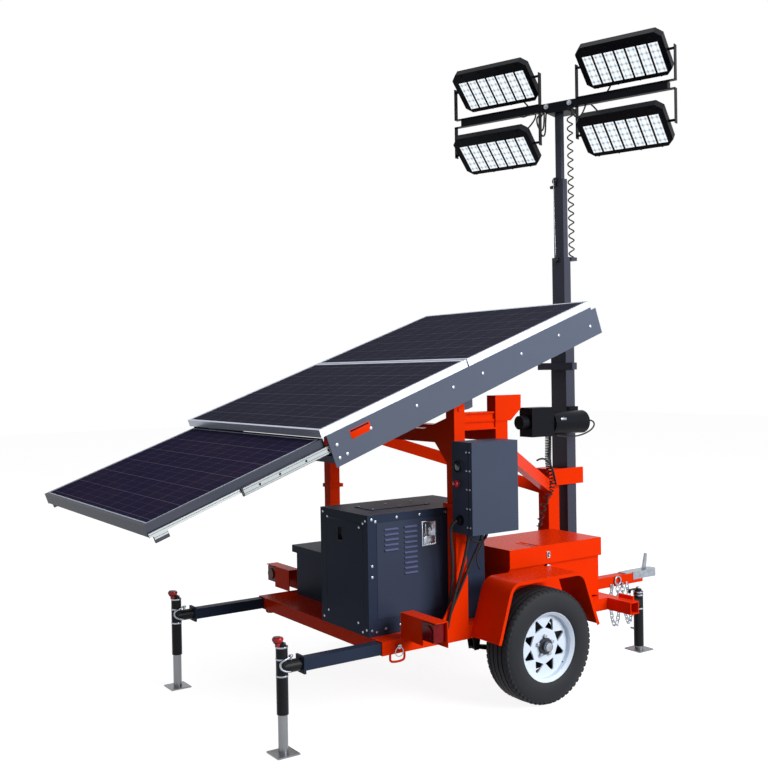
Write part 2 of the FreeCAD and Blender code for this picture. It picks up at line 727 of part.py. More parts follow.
def mast_section(index):
    name, sx, sy, low, high = MAST[index]
    wall = MAST_WALL
    hx, hy = sx / 2, sy / 2
    tube = box(MAST_X - hx, MAST_X + hx, -hy, hy, low, high)
    bore = box(MAST_X - hx + wall, MAST_X + hx - wall, -hy + wall, hy - wall, low - 1, high + 1)
    tube = tube.cut(bore)
    if index + 1 < len(MAST):
        next_x, next_y = MAST[index + 1][1] / 2 + FIT, MAST[index + 1][2] / 2 + FIT
        guide = box(MAST_X - hx, MAST_X + hx, -hy, hy, high - GUIDE, high)
        guide = guide.cut(box(MAST_X - next_x, MAST_X + next_x, -next_y, next_y, high - GUIDE - 1, high + 1))
        tube = fuse([tube, guide])
    else:
        cap = box(MAST_X - hx, MAST_X + hx, -hy, hy, high - 6, high)
        tube = fuse([tube, cap, rod(SPIGOT_R, (MAST_X, 0, high - 3), (MAST_X, 0, high + 24))])
    if name == "mast_second":
        x, y = MAST_X + CORD_AT[0], CORD_AT[1]
        clamp = box(MAST_X + hx, x + CORD_R + 4, y - CORD_R - 4, y + CORD_R + 4, CORD_Z - 25, CORD_Z - FIT)
        tube = fuse([tube, clamp])
    return [tube]


COLLAR_Z = (1940.0, 1990.0)
COLLAR_Y = 176.0


def mast_fittings():
    """Foot plate on the tongue and the guide collar with its cross bar, both held by the base tube."""
    hx, hy = MAST[0][1] / 2, MAST[0][2] / 2
    foot = box(MAST_X - 80, MAST_X + 80, -120, 120, RAIL_Z, MAST[0][3])
    low, high = COLLAR_Z
    collar = box(MAST_X - hx - 12, MAST_X + hx + 12, -hy - 12, hy + 12, low, high)
    collar = fuse([collar, box(MAST_X - hx - 36, MAST_X - hx, -COLLAR_Y, COLLAR_Y, low, high)])
    collar = collar.cut(box(MAST_X - hx, MAST_X + hx, -hy, hy, low - 1, high + 1))
    return [foot, collar]


WINCH_Y = -200.0
WINCH_Z = 1592.0
MOTOR_Z = WINCH_Z - 14.0
WINCH_X = (535.0, 735.0)


def winch():
    """The electric mast winch: gearbox, cooling cap and motor in line, on a plate on the base tube."""
    y = -MAST[0][2] / 2
    x0, x1 = WINCH_X
    pieces = [
        box(MAST_X - 42, MAST_X + 42, y - 30, y, WINCH_Z - 52, WINCH_Z + 88),
        box(x0, x1, WINCH_Y - 62, WINCH_Y + 62, WINCH_Z - 98, WINCH_Z + 98),
        rod(46, (x0 - 63, WINCH_Y, WINCH_Z), (x0 + 1, WINCH_Y, WINCH_Z)),
        rod(78, (x1 + 9, WINCH_Y, MOTOR_Z), (MAST_X - 18.8, WINCH_Y, MOTOR_Z)),
        rod(62, (x1 - 1, WINCH_Y, MOTOR_Z), (x1 + 10, WINCH_Y, MOTOR_Z)),
        box(MAST_X - 40.8, MAST_X + 33.2, WINCH_Y, y, MOTOR_Z - 38, MOTOR_Z + 38),
    ]
    return [fuse(pieces)]


# lamp head

def head_place(shape):
    shape = shape.copy()
    shape.rotate(V(0, 0, 0), V(0, 0, 1), HEAD_TURN)
    shape.translate(V(MAST_X, 0, BAR_Z))
    return shape


YOKE_T = 6.0
YOKE_X = (LAMP_X - 20.0, LAMP_X + 20.0)
YOKE_REACH = 352.0
YOKE_PIN_R = 9.0
LAMP_GRIP = 14.0


def head_bar():
    """The cross bar on its turning plate, with a U-shaped yoke for each of the four lamps."""
    half = BAR / 2
    plate_low = MAST[3][4] - BAR_Z + FIT
    spigot_top = MAST[3][4] + 24 - BAR_Z
    plate = box(-60, 95, -95, 70, plate_low, -half)
    pieces = [box(-half, half, -BAR_HALF, BAR_HALF, -half, half), plate]
    x0, x1 = YOKE_X
    for side in (-1, 1):
        for up in (-1, 1):
            y = side * LAMP_S
            reach = YOKE_REACH
            z = sorted((up * half, up * (half + YOKE_T)))
            pieces.append(box(x0, x1, y - reach - YOKE_T, y + reach + YOKE_T, z[0], z[1]))
            arm = sorted((up * half, up * (LAMP_RISE + 22)))
            for s in (-1, 1):
                ys = sorted((y + s * reach, y + s * (reach + YOKE_T)))
                pieces.append(box(x0, x1, ys[0], ys[1], arm[0], arm[1]))
                end = y + s * (reach + YOKE_T)
                inner = y + s * (LAMP_W / 2 - LAMP_GRIP)
                pieces.append(rod(YOKE_PIN_R, (LAMP_X, end, up * LAMP_RISE), (LAMP_X, inner, up * LAMP_RISE)))
    bar = fuse(pieces)
    bore = rod(SPIGOT_R + RUN, (0, 0, plate_low - 1), (0, 0, spigot_top + FIT))
    return [head_place(bar.cut(bore))]


LENS_W = 541.0
LENS_H = 236.0
LENS_DROP = 24.0
LENS_RIB = 12.0
LENS_STRIPS = 7
LENS_DEPTH = 10.0
CORNER = 44.0
FINS = 9


def lamp(side, up):
    """One lamp that leans down from -X: a frame with cut corners, seven lens strips and a finned back."""
    half, rise = LAMP_W / 2, LAMP_H / 2
    y, z = side * LAMP_S, up * LAMP_RISE
    front = LAMP_X - LAMP_D / 2
    outline = []
    for a, b in ((1, 1), (-1, 1), (-1, -1), (1, -1)):
        ends = [(y + a * half, z + b * (rise - CORNER)), (y + a * (half - CORNER), z + b * rise)]
        outline += ends if a * b > 0 else ends[::-1]
    body = prism(outline, "x", front, LAMP_D / 2 + 14)
    wide = (LENS_W - (LENS_STRIPS - 1) * LENS_RIB) / LENS_STRIPS
    low = z - LENS_DROP - LENS_H / 2
    for i in range(LENS_STRIPS):
        a = y - LENS_W / 2 + i * (wide + LENS_RIB)
        body = body.cut(box(front - 1, front + LENS_DEPTH, a, a + wide, low, low + LENS_H))
    back = box(LAMP_X + 14, LAMP_X + LAMP_D / 2, y - half + 50, y + half - 50, z - rise + 40, z + rise - 40)
    pitch = (LAMP_W - 100) / FINS
    for i in range(FINS):
        a = y - half + 50 + pitch * i
        back = back.cut(box(LAMP_X + 20, LAMP_X + LAMP_D / 2 + 1, a + 14, a + pitch - 4, z - rise, z + rise))
    body = fuse([body, back])
    for s in (-1, 1):
        end = y + s * (half + 1)
        body = body.cut(rod(YOKE_PIN_R + RUN, (LAMP_X, end, z), (LAMP_X, end - s * (LAMP_GRIP + 2), z)))
    body = turned(body, V(LAMP_X, 0, z), V(0, 1, 0), -LAMP_TILT)
    return [head_place(body)]


# solar array

def array_place(shape):
    shape = shape.copy()
    shape.rotate(V(0, 0, 0), V(0, 1, 0), -TILT)
    shape.translate(V(ARRAY_X, 0, ARRAY_Z))
    return shape


def pivot_local():
    dx, dz = PIVOT[0] - ARRAY_X, PIVOT[1] - ARRAY_Z
    c, s = math.cos(math.radians(TILT)), math.sin(math.radians(TILT))
    return dx * c + dz * s, -dx * s + dz * c


def glazed(u0, u1, y, w0, w1):
    """A panel: a rim of frame section round a glass sheet set a little below the rim's top."""
    frame = box(u0, u1, -y, y, w0, w1)
    frame = frame.cut(box(u0 + 12, u1 - 12, -y + 12, y - 12, w0 - 1, w1 - 8))
    return frame.cut(box(u0 + 18, u1 - 18, -y + 18, y - 18, w1 - 2, w1 + 1))


def array_panels():
    step = PANEL_U + PANEL_GAP
    return [array_place(glazed(u, u + PANEL_U, PANEL_Y, -PANEL_T, 0)) for u in (0, step)]


SIDE_T = 4.0
SIDE_Y = PANEL_Y + 0.5
CROSSBARS = (
    # u, bottom and top across the slope
    (70.0, -220.0, -180.0),
    (700.0, -220.0, -180.0),
    (1240.0, -185.0, -145.0),
    (1980.0, -185.0, -145.0),
)
CROSSBAR_U = 40.0
WEB_Y = (636.0, 644.0)
SLIDE_W = (-143.0, -93.0)


def array_sides():
    """Side plates with the ledges that the panels lie on."""
    def one():
        plate = box(SIDE_U[0], SIDE_U[1], SIDE_Y, SIDE_Y + SIDE_T, SIDE_W[0], SIDE_W[1])
        ledge = box(SIDE_U[0], 2 * PANEL_U + PANEL_GAP, SIDE_Y - 10, SIDE_Y + SIDE_T, SIDE_W[1], -PANEL_T)
        return fuse([plate, ledge])
    return [array_place(s) for s in both_sides(one)]


def array_crossbars():
    pieces = [box(u, u + CROSSBAR_U, -SIDE_Y, SIDE_Y, low, high) for u, low, high in CROSSBARS]
    middle = PANEL_U + PANEL_GAP
    pieces.append(box(middle - 40, middle + 30, -SIDE_Y + 10, SIDE_Y - 10, -PANEL_T - 6, -PANEL_T))
    return [array_place(p) for p in pieces]


def array_webs():
    """The two webs under the array that turn on the pins of the tower posts."""
    pu, pw = pivot_local()
    rear = CROSSBARS[1][0] + CROSSBAR_U
    front = CROSSBARS[2][0]
    outline = (
        (rear, -180), (front, -150), (front, -185), (1150, -215), (1112, pw - 50),
        (1080, pw - 50), (pu + 30, pw - 33), (pu - 30, pw - 33), (pu - 30, pw + 35),
        (800, -220), (rear, -220),
    )
    web = prism(outline, "y", WEB_Y[0], WEB_Y[1] - WEB_Y[0])
    bore = rod(PIVOT_R + RUN, (pu, WEB_Y[0] - 1, pw), (pu, WEB_Y[1] + 1, pw))
    return [array_place(s) for s in both_sides(lambda: web.cut(bore))]


SLIDE_LEN = 1000.0
RAIL_U = (30.0, 60.0 + SLIDE_LEN)


def array_rails():
    """Outer members of the drawer slides, fixed inside the side plates."""
    def one():
        return box(RAIL_U[0], RAIL_U[1], SIDE_Y - 10.6, SIDE_Y, SLIDE_W[0], SLIDE_W[1])
    return [array_place(s) for s in both_sides(one)]


def drawer_slides():
    start = DRAWER_U[0] / 2
    near, far = DRAWER_Y + 10 + FIT, DRAWER_Y + 20 + FIT
    low, high = SLIDE_W[0] + 4, SLIDE_W[1] - 4
    return [array_place(s) for s in both_sides(
        lambda: box(start, start + SLIDE_LEN, near, far, low, high)
    )]


def drawer():
    """The third panel in its tray, which runs out on slides from under the low edge of the array."""
    u0, u1 = DRAWER_U
    w0, w1 = DRAWER_W
    tray = glazed(u0, u1, DRAWER_Y, w0, w1)

    def slide():
        rail = box(u0 + 2, u0 + SLIDE_LEN, DRAWER_Y, DRAWER_Y + 10, w0 - 5, w0 + 19)
        stop = box(u0 + 23, u0 + 96, DRAWER_Y - 6, DRAWER_Y + 10, w0 - 40, w0)
        return fuse([rail, stop])
    return [array_place(fuse([tray] + both_sides(slide)))]


def curly_cord():
    top = MAST[3][4] + FIT
    return [Part.makeCylinder(CORD_R, top - CORD_Z, V(MAST_X + CORD_AT[0], CORD_AT[1], CORD_Z))]


NODES = {
    "side_rails": side_rails,
    "cross_members": cross_members,
    "tongue": tongue,
    "coupler": coupler,
    "axle": axle,
    "leaf_springs": leaf_springs,
    "fenders": fenders,
    "front_box": front_box,
    "front_box_lid": front_box_lid,
    "tower_posts": tower_posts,
    "tower_gussets": tower_gussets,
    "tower_beam": tower_beam,
    "tower_arms": tower_arms,
    "tower_crossbar": tower_crossbar,
    "mast_post": mast_post,
    "braces": braces,
    "generator_housing": generator_housing,
    "generator_panel": generator_panel,
    "generator_block": generator_block,
    "battery_box": battery_box,
    "battery_box_lid": battery_box_lid,
    "control_box": control_box,
    "lamp_brackets": lamp_brackets,
    "tail_lamps": tail_lamps,
    "front_jack_mounts": front_jack_mounts,
    "outrigger_left": lambda: outrigger(1),
    "outrigger_right": lambda: outrigger(-1),
    "rear_jack_left": lambda: rear_jack(1),
    "rear_jack_right": lambda: rear_jack(-1),
    "front_jack_left": lambda: front_jack(1),
    "front_jack_right": lambda: front_jack(-1),
    "tyre_left": lambda: tyre(1),
    "tyre_right": lambda: tyre(-1),
    "rim_left": lambda: rim(1),
    "rim_right": lambda: rim(-1),
    "mast_base": lambda: mast_section(0),
    "mast_second": lambda: mast_section(1),
    "mast_third": lambda: mast_section(2),
    "mast_top": lambda: mast_section(3),
    "mast_fittings": mast_fittings,
    "winch": winch,
    "head_bar": head_bar,
    "lamp_upper_left": lambda: lamp(1, 1),
    "lamp_upper_right": lambda: lamp(-1, 1),
    "lamp_lower_left": lambda: lamp(1, -1),
    "lamp_lower_right": lambda: lamp(-1, -1),
    "array_panels": array_panels,
    "array_sides": array_sides,
    "array_crossbars": array_crossbars,
    "array_webs": array_webs,
    "array_rails": array_rails,
    "drawer_slides": drawer_slides,
    "drawer": drawer,
    "curly_cord": curly_cord,
}


def middle_x():
    low = array_place(Part.Vertex(DRAWER_U[0], 0, DRAWER_W[1])).Point.x
    return (low + NOSE_X) / 2


def put(shapes):
    shape = Part.makeCompound(shapes)
    shape.translate(V(-middle_x(), 0, 0))
    return shape


if __name__ == "__main__":
    os.makedirs("parts", exist_ok=True)
    for node, make in NODES.items():
        put(make()).exportStep("parts/" + node + ".step")
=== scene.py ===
# %% [markdown]
# A mobile light tower: a single-axle trailer with a sloping solar array, a telescopic mast and
# four floodlights. The solids come in as a fixed frame, already in metres, so this script only
# gives them their finishes and adds what is too small or too soft for solids: tyre tread, lamp
# windows, screws, cables, chains and latches. Places are written in millimetres from the wheel
# axis, because those are the numbers someone would read off the trailer, and one helper turns
# them into the frame's metres.

# %% Frame and places
import math

import bmesh
import bpy
from mathutils import Matrix, Vector


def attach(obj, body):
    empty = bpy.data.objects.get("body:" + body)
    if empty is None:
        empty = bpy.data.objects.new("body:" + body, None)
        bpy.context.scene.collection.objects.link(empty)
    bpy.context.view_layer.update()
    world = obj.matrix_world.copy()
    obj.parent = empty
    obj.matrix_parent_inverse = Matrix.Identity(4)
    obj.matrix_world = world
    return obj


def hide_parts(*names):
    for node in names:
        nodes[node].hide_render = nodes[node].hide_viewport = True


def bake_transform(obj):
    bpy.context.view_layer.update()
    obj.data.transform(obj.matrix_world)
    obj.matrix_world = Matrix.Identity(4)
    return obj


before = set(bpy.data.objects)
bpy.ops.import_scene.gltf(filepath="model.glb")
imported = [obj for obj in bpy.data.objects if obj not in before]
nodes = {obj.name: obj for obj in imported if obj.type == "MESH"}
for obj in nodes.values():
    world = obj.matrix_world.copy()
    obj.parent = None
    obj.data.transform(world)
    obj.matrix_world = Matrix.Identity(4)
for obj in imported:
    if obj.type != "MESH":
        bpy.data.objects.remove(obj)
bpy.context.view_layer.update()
WHEEL_AXIS_X = 0.179324
SIDES = ((1, "left"), (-1, "right"))


def at(x, y, z):
    """A place in millimetres from the wheel axis, as metres in the frame."""
    return Vector((x / 1000 + WHEEL_AXIS_X, y / 1000, z / 1000))


# %% [markdown]
# Modelling helpers. Blender's operators act on whatever is selected, and loading the frame
# leaves its nodes selected, so each helper deselects everything first. Every piece ends with its
# origin at zero and its place in its mesh, as the frame's own nodes have. Radii and edges are
# in metres, and an edge is the width by which the sharp corners are rounded.

# %% Selecting and finishing
SHARP = math.radians(35)
EDGE_SEGMENTS = 2


def deselect():
    if bpy.context.object and bpy.context.object.mode != "OBJECT":
        bpy.ops.object.mode_set(mode="OBJECT")
    bpy.ops.object.select_all(action="DESELECT")


def pick(*objects):
    deselect()
    for o in objects:
        o.select_set(True)
    bpy.context.view_layer.objects.active = objects[0]


def settled():
    """The object just added, with its place, turn and size moved into its mesh."""
    o = bpy.context.object
    pick(o)
    bpy.ops.object.transform_apply(location=True, rotation=True, scale=True)
    return o


def round_edges(o, width):
    """Rounds the sharper edges of a piece, as paint and pressing do."""
    pick(o)
    bevel = o.modifiers.new("edges", "BEVEL")
    bevel.width = width
    bevel.segments = EDGE_SEGMENTS
    bevel.limit_method = "ANGLE"
    bevel.angle_limit = SHARP
    bpy.ops.object.modifier_apply(modifier="edges")
    bpy.ops.object.shade_smooth_by_angle(angle=SHARP)
    return o


# %% Blocks and rods, in the frame's metres and in millimetres from the wheel axis
def block(low, high, edge=0.001):
    """A rounded block between two corners."""
    deselect()
    low, high = Vector(low), Vector(high)
    bpy.ops.mesh.primitive_cube_add(size=1, location=(low + high) / 2)
    bpy.context.object.scale = high - low
    return round_edges(settled(), edge)


def rod(start, end, radius, edge=0.0008, sides=24):
    """A round bar between two places, its end edges rounded."""
    deselect()
    start, end = Vector(start), Vector(end)
    along = end - start
    bpy.ops.mesh.primitive_cylinder_add(
        vertices=sides, radius=radius, depth=along.length, location=(start + end) / 2,
        rotation=along.to_track_quat("Z", "Y").to_euler())
    return round_edges(settled(), edge)


def slab(low, high, edge):
    return block(at(*low), at(*high), edge)


def bar(start, end, radius, edge, sides=24):
    return rod(at(*start), at(*end), radius, edge, sides)


def joined(name, pieces):
    pick(*pieces)
    if len(pieces) > 1:
        bpy.ops.object.join()
    o = bpy.context.object
    o.name = name
    o.data.name = name
    return o


def dress(o, body, material):
    """Gives a finished piece its material and its body."""
    o.data.materials.clear()
    o.data.materials.append(material)
    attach(o, body)
    print(o.name, "on", body, len(o.data.polygons), "faces")
    return o


def fit(name, body, material, *parts):
    """Joins parts into one named piece on a body."""
    return dress(joined(name, parts), body, material)


def copies(name, master, places):
    """One piece made of copies of the master, each with its own mesh, at the given matrices."""
    made = []
    for place in places:
        o = master.copy()
        o.data = master.data.copy()
        o.data.transform(place)
        bpy.context.scene.collection.objects.link(o)
        made.append(o)
    bpy.data.objects.remove(master)
    return joined(name, made)


# %% [markdown]
# Finishes. Powder coat, galvanising and rubber all differ from flat colour in the same three
# ways: the colour drifts a little over the surface, the gloss is uneven, and dust lies on what
# faces up. Each effect is one node group with its own inputs, so every material can use it at
# its own scale. A group only puts out values and normals, and the shader stays in the material.

# %% Node helpers
def link(tree, a, b):
    tree.links.new(a, b)


def feed(tree, value, socket):
    """Gives a socket a constant, or a link when the value is another socket."""
    if isinstance(value, bpy.types.NodeSocket):
        link(tree, value, socket)
    else:
        socket.default_value = value


def new_group(name, inputs, outputs):
    """A node group; inputs are (label, value) floats and outputs (label, kind)."""
    tree = bpy.data.node_groups.new(name, "ShaderNodeTree")
    for label, value in inputs:
        socket = tree.interface.new_socket(label, in_out="INPUT", socket_type="NodeSocketFloat")
        socket.default_value = value
    for label, kind in outputs:
        tree.interface.new_socket(label, in_out="OUTPUT", socket_type="NodeSocket" + kind)
    return tree, tree.nodes.new("NodeGroupInput").outputs, tree.nodes.new("NodeGroupOutput").inputs


def maths(tree, operation, a, b=None, clamp=False):
    node = tree.nodes.new("ShaderNodeMath")
    node.operation = operation
    node.use_clamp = clamp
    feed(tree, a, node.inputs[0])
    if b is not None:
        feed(tree, b, node.inputs[1])
    return node.outputs[0]


def noise(tree, scale, detail):
    """Noise over the object's own coordinates, which here are the frame's metres."""
    coords = tree.nodes.new("ShaderNodeTexCoord")
    node = tree.nodes.new("ShaderNodeTexNoise")
    node.inputs["Detail"].default_value = detail
    feed(tree, scale, node.inputs["Scale"])
    link(tree, coords.outputs["Object"], node.inputs["Vector"])
    return node.outputs["Fac"]


# %% Surface drift: slow colour change and uneven gloss
drift_tree, g_in, g_out = new_group(
    "surface_drift", [("Scale", 3.0), ("Fine scale", 60.0)], [("Slow", "Float"), ("Fine", "Float")])
link(drift_tree, noise(drift_tree, g_in["Scale"], 3.0), g_out["Slow"])
link(drift_tree, noise(drift_tree, g_in["Fine scale"], 4.0), g_out["Fine"])

# %% Dust: a mask of what faces up, broken by noise
dust_tree, g_in, g_out = new_group("settled_dust", [("Amount", 0.2)], [("Mask", "Float")])
geometry = dust_tree.nodes.new("ShaderNodeNewGeometry")
split = dust_tree.nodes.new("ShaderNodeSeparateXYZ")
link(dust_tree, geometry.outputs["Normal"], split.inputs[0])
patchy = maths(dust_tree, "MULTIPLY", split.outputs["Z"], noise(dust_tree, 9.0, 6.0), clamp=True)
link(dust_tree, maths(dust_tree, "MULTIPLY", patchy, g_in["Amount"], clamp=True), g_out["Mask"])

# %% Coat texture: the slight pebble of powder coat, as a normal
pebble_tree, g_in, g_out = new_group(
    "coat_pebble", [("Scale", 420.0), ("Depth", 0.00005), ("Strength", 0.25)],
    [("Normal", "Vector")])
bump = pebble_tree.nodes.new("ShaderNodeBump")
link(pebble_tree, noise(pebble_tree, g_in["Scale"], 2.0), bump.inputs["Height"])
link(pebble_tree, g_in["Depth"], bump.inputs["Distance"])
link(pebble_tree, g_in["Strength"], bump.inputs["Strength"])
link(pebble_tree, bump.outputs["Normal"], g_out["Normal"])
print("groups", [g.name for g in bpy.data.node_groups])


# %% [markdown]
# Painted steel. The trailer's orange, the charcoal cabinets and the slate array are one recipe
# with different values: a base colour that drifts between two close tones, a roughness that
# drifts too, and dust on top. Around the trailer everything is white, which would wash dark
# paint out to grey, so "shine" keeps the mirror part of each paint low.

# %% A recipe for painted and bare surfaces
DUST = (0.30, 0.27, 0.23)


def new_material(name):
    material = bpy.data.materials.new(name)
    material.use_nodes = True
    return material, material.node_tree, material.node_tree.nodes["Principled BSDF"].inputs


def grouped(tree, group, **values):
    """A group node in the tree, with its inputs set or linked."""
    node = tree.nodes.new("ShaderNodeGroup")
    node.node_tree = group
    for label, value in values.items():
        feed(tree, value, node.inputs[label.replace("_", " ")])
    return node.outputs


# a Mix node keeps a set of sockets for each kind of value; these are the colour's
MIX_FACTOR, MIX_A, MIX_B, MIX_OUT = 0, 6, 7, 2


def mixed(tree, factor, a, b):
    """A colour between a and b, each a colour or a socket."""
    node = tree.nodes.new("ShaderNodeMix")
    node.data_type = "RGBA"
    for index, value in ((MIX_FACTOR, factor), (MIX_A, a), (MIX_B, b)):
        feed(tree, (*value, 1.0) if isinstance(value, tuple) else value, node.inputs[index])
    return node.outputs[MIX_OUT]


def spanned(tree, value, low, high):
    """A value from 0 to 1 stretched over low to high."""
    node = tree.nodes.new("ShaderNodeMapRange")
    node.inputs["To Min"].default_value = low
    node.inputs["To Max"].default_value = high
    link(tree, value, node.inputs["Value"])
    return node.outputs[0]


def surface(name, light, dark, rough, metallic=0.0, dust=0.01, pebble=0.25, scale=3.0, fine=60.0,
            shine=0.5):
    """A material whose colour drifts from dark to light and its roughness over rough."""
    material, tree, inputs = new_material(name)
    drift = grouped(tree, drift_tree, Scale=scale, Fine_scale=fine)
    colour = mixed(tree, drift["Slow"], dark, light)
    colour = mixed(tree, grouped(tree, dust_tree, Amount=dust)["Mask"], colour, DUST)
    link(tree, colour, inputs["Base Color"])
    link(tree, spanned(tree, drift["Fine"], *rough), inputs["Roughness"])
    inputs["Metallic"].default_value = metallic
    inputs["Specular IOR Level"].default_value = shine
    link(tree, grouped(tree, pebble_tree, Strength=pebble)["Normal"], inputs["Normal"])
    return material


# %% The paints
orange = surface("orange_gloss", (0.86, 0.036, 0.0012), (0.78, 0.029, 0.0010), (0.20, 0.32),
                 pebble=0.0, shine=0.02)
charcoal = surface("charcoal_satin", (0.030, 0.041, 0.075), (0.024, 0.033, 0.062), (0.36, 0.46),
                   pebble=0.08, shine=0.03)
control_satin = surface("control_satin", (0.066, 0.082, 0.126), (0.055, 0.070, 0.108),
                        (0.36, 0.46), pebble=0.08, shine=0.03)
slate = surface("array_slate", (0.118, 0.138, 0.190), (0.100, 0.119, 0.168), (0.40, 0.52),
                pebble=0.08, shine=0.03)
mast_grey = surface("mast_slate", (0.052, 0.056, 0.084), (0.042, 0.046, 0.070), (0.32, 0.44),
                    pebble=0.08, shine=0.14)
mast_black = surface("mast_black", (0.016, 0.018, 0.026), (0.010, 0.012, 0.018), (0.30, 0.42),
                     dust=0.02, shine=0.25)
black = surface("black_enamel", (0.010, 0.011, 0.015), (0.006, 0.007, 0.010), (0.28, 0.42),
                dust=0.005, pebble=0.08, shine=0.05)
trim_silver = surface("trim_silver", (0.46, 0.52, 0.64), (0.38, 0.44, 0.55), (0.3, 0.4), shine=0.1)

# %% The metal, rubber and plastics
zinc = surface("bright_zinc", (0.46, 0.50, 0.56), (0.20, 0.22, 0.26), (0.20, 0.40), metallic=1.0,
               dust=0.02, pebble=0.1, scale=26.0, fine=120.0)
rubber = surface("tyre_rubber", (0.026, 0.028, 0.034), (0.016, 0.018, 0.022), (0.55, 0.72),
                 dust=0.06, pebble=0.6, fine=200.0, shine=0.15)
cable = surface("cable_jacket", (0.013, 0.014, 0.016), (0.008, 0.009, 0.010), (0.38, 0.5),
                dust=0.02, shine=0.25)
red = surface("red_plastic", (0.56, 0.008, 0.014), (0.40, 0.005, 0.009), (0.12, 0.22), shine=0.3)
lamp_red = surface("lamp_red", (0.26, 0.004, 0.008), (0.10, 0.002, 0.004), (0.10, 0.20),
                   scale=30.0, shine=0.12)
gauge_glass = surface("gauge_glass", (0.030, 0.075, 0.095), (0.016, 0.045, 0.060), (0.08, 0.14),
                      dust=0.02)
print("materials", len(bpy.data.materials))


# %% [markdown]
# Some solids carry more than one finish: a solar panel is glass in a silver rim, and a wheel has
# a black hub. Their meshes mustn't be touched, so the finish is chosen inside the material by
# where the point is, from Object coordinates, which here are the frame's metres.

# %% Masks by place
def local_axes(tree, turn_y=0.0, origin=(0, 0, 0)):
    """X, Y and Z of the point, measured from origin and turned about Y into a piece's own axes."""
    coords = tree.nodes.new("ShaderNodeTexCoord")
    move = tree.nodes.new("ShaderNodeMapping")
    move.vector_type = "POINT"
    move.inputs["Location"].default_value = [-v for v in origin]
    turn = tree.nodes.new("ShaderNodeMapping")
    turn.inputs["Rotation"].default_value = (0, turn_y, 0)
    split = tree.nodes.new("ShaderNodeSeparateXYZ")
    link(tree, coords.outputs["Object"], move.inputs["Vector"])
    link(tree, move.outputs[0], turn.inputs["Vector"])
    link(tree, turn.outputs[0], split.inputs[0])
    return split.outputs


def above(tree, value, limit):
    return maths(tree, "GREATER_THAN", value, limit)


def below(tree, value, limit):
    return maths(tree, "LESS_THAN", value, limit)


def folded(tree, operation, masks):
    result = masks[0]
    for mask in masks[1:]:
        result = maths(tree, operation, result, mask)
    return result


def both(tree, *masks):
    return folded(tree, "MULTIPLY", masks)


def either(tree, *masks):
    return folded(tree, "MAXIMUM", masks)


# %% Two finishes in one material
def two_finish(name, first, second, mask_maker, shine):
    """Blends from the first finish to the second where the mask is 1.

    A finish is its light tone, its dark tone, its roughness and how metallic it is.
    """
    material, tree, inputs = new_material(name)
    drift = grouped(tree, drift_tree, Scale=3.0, Fine_scale=60.0)
    mask = mask_maker(tree)
    tones = [mixed(tree, drift["Slow"], dark, light) for light, dark, _, _ in (first, second)]
    link(tree, mixed(tree, mask, *tones), inputs["Base Color"])
    for label, index in (("Roughness", 2), ("Metallic", 3)):
        link(tree, spanned(tree, mask, first[index], second[index]), inputs[label])
    inputs["Specular IOR Level"].default_value = shine
    link(tree, grouped(tree, pebble_tree, Strength=0.15)["Normal"], inputs["Normal"])
    return material


def overpaint(material, mask, colour):
    """Lays a colour over what feeds the material's base colour, as strongly as the mask."""
    tree = material.node_tree
    base = tree.nodes["Principled BSDF"].inputs["Base Color"]
    link(tree, mixed(tree, mask, base.links[0].from_socket, colour), base)


# %% [markdown]
# Solar glass. A panel is a sheet of glass over cells, so the pattern is a square grid of fine
# pale lines, with fainter lines between, in near-black slate. The upper panels look matt grey
# in the light, and the drawer's glass is a deeper navy. The lines are thin masks made by folding
# each local axis into one cell's width. The clear coat fades out as the view gets flatter,
# because glass seen flat would only mirror the white studio.

# %% Cell grid group
grid_tree, g_in, g_out = new_group(
    "cell_grid", [("Along", 0.0), ("Cell", 0.16), ("Line", 0.002)], [("Mask", "Float")])
half_cell = maths(grid_tree, "MULTIPLY", g_in["Cell"], 0.5)
wave = maths(grid_tree, "PINGPONG", g_in["Along"], half_cell)
link(grid_tree, below(grid_tree, wave, g_in["Line"]), g_out["Mask"])

# %% Glass with cell lines inside a rim
ARRAY_TILT = math.radians(20.08)
ARRAY_LOW = at(-1440.5, 0, 1656)
PANEL_U, PANEL_GAP, PANEL_Y = 1.0217, 0.010, 0.8307
DRAWER_PANE, DRAWER_Y, DRAWER_TOP = (-1.003, 0.020), 0.800, -0.055
RIM_W, GLASS_DEPTH, CELL, LINE_W = 0.0182, 0.009, 0.158, 0.0012
LINE_STRENGTH, BUSBAR_STRENGTH = 0.30, 0.10
COAT, COAT_FADE = 0.7, 1.5


def array_axes(tree):
    """The point's place up the array's slope, across it and square to it."""
    return local_axes(tree, ARRAY_TILT, ARRAY_LOW)


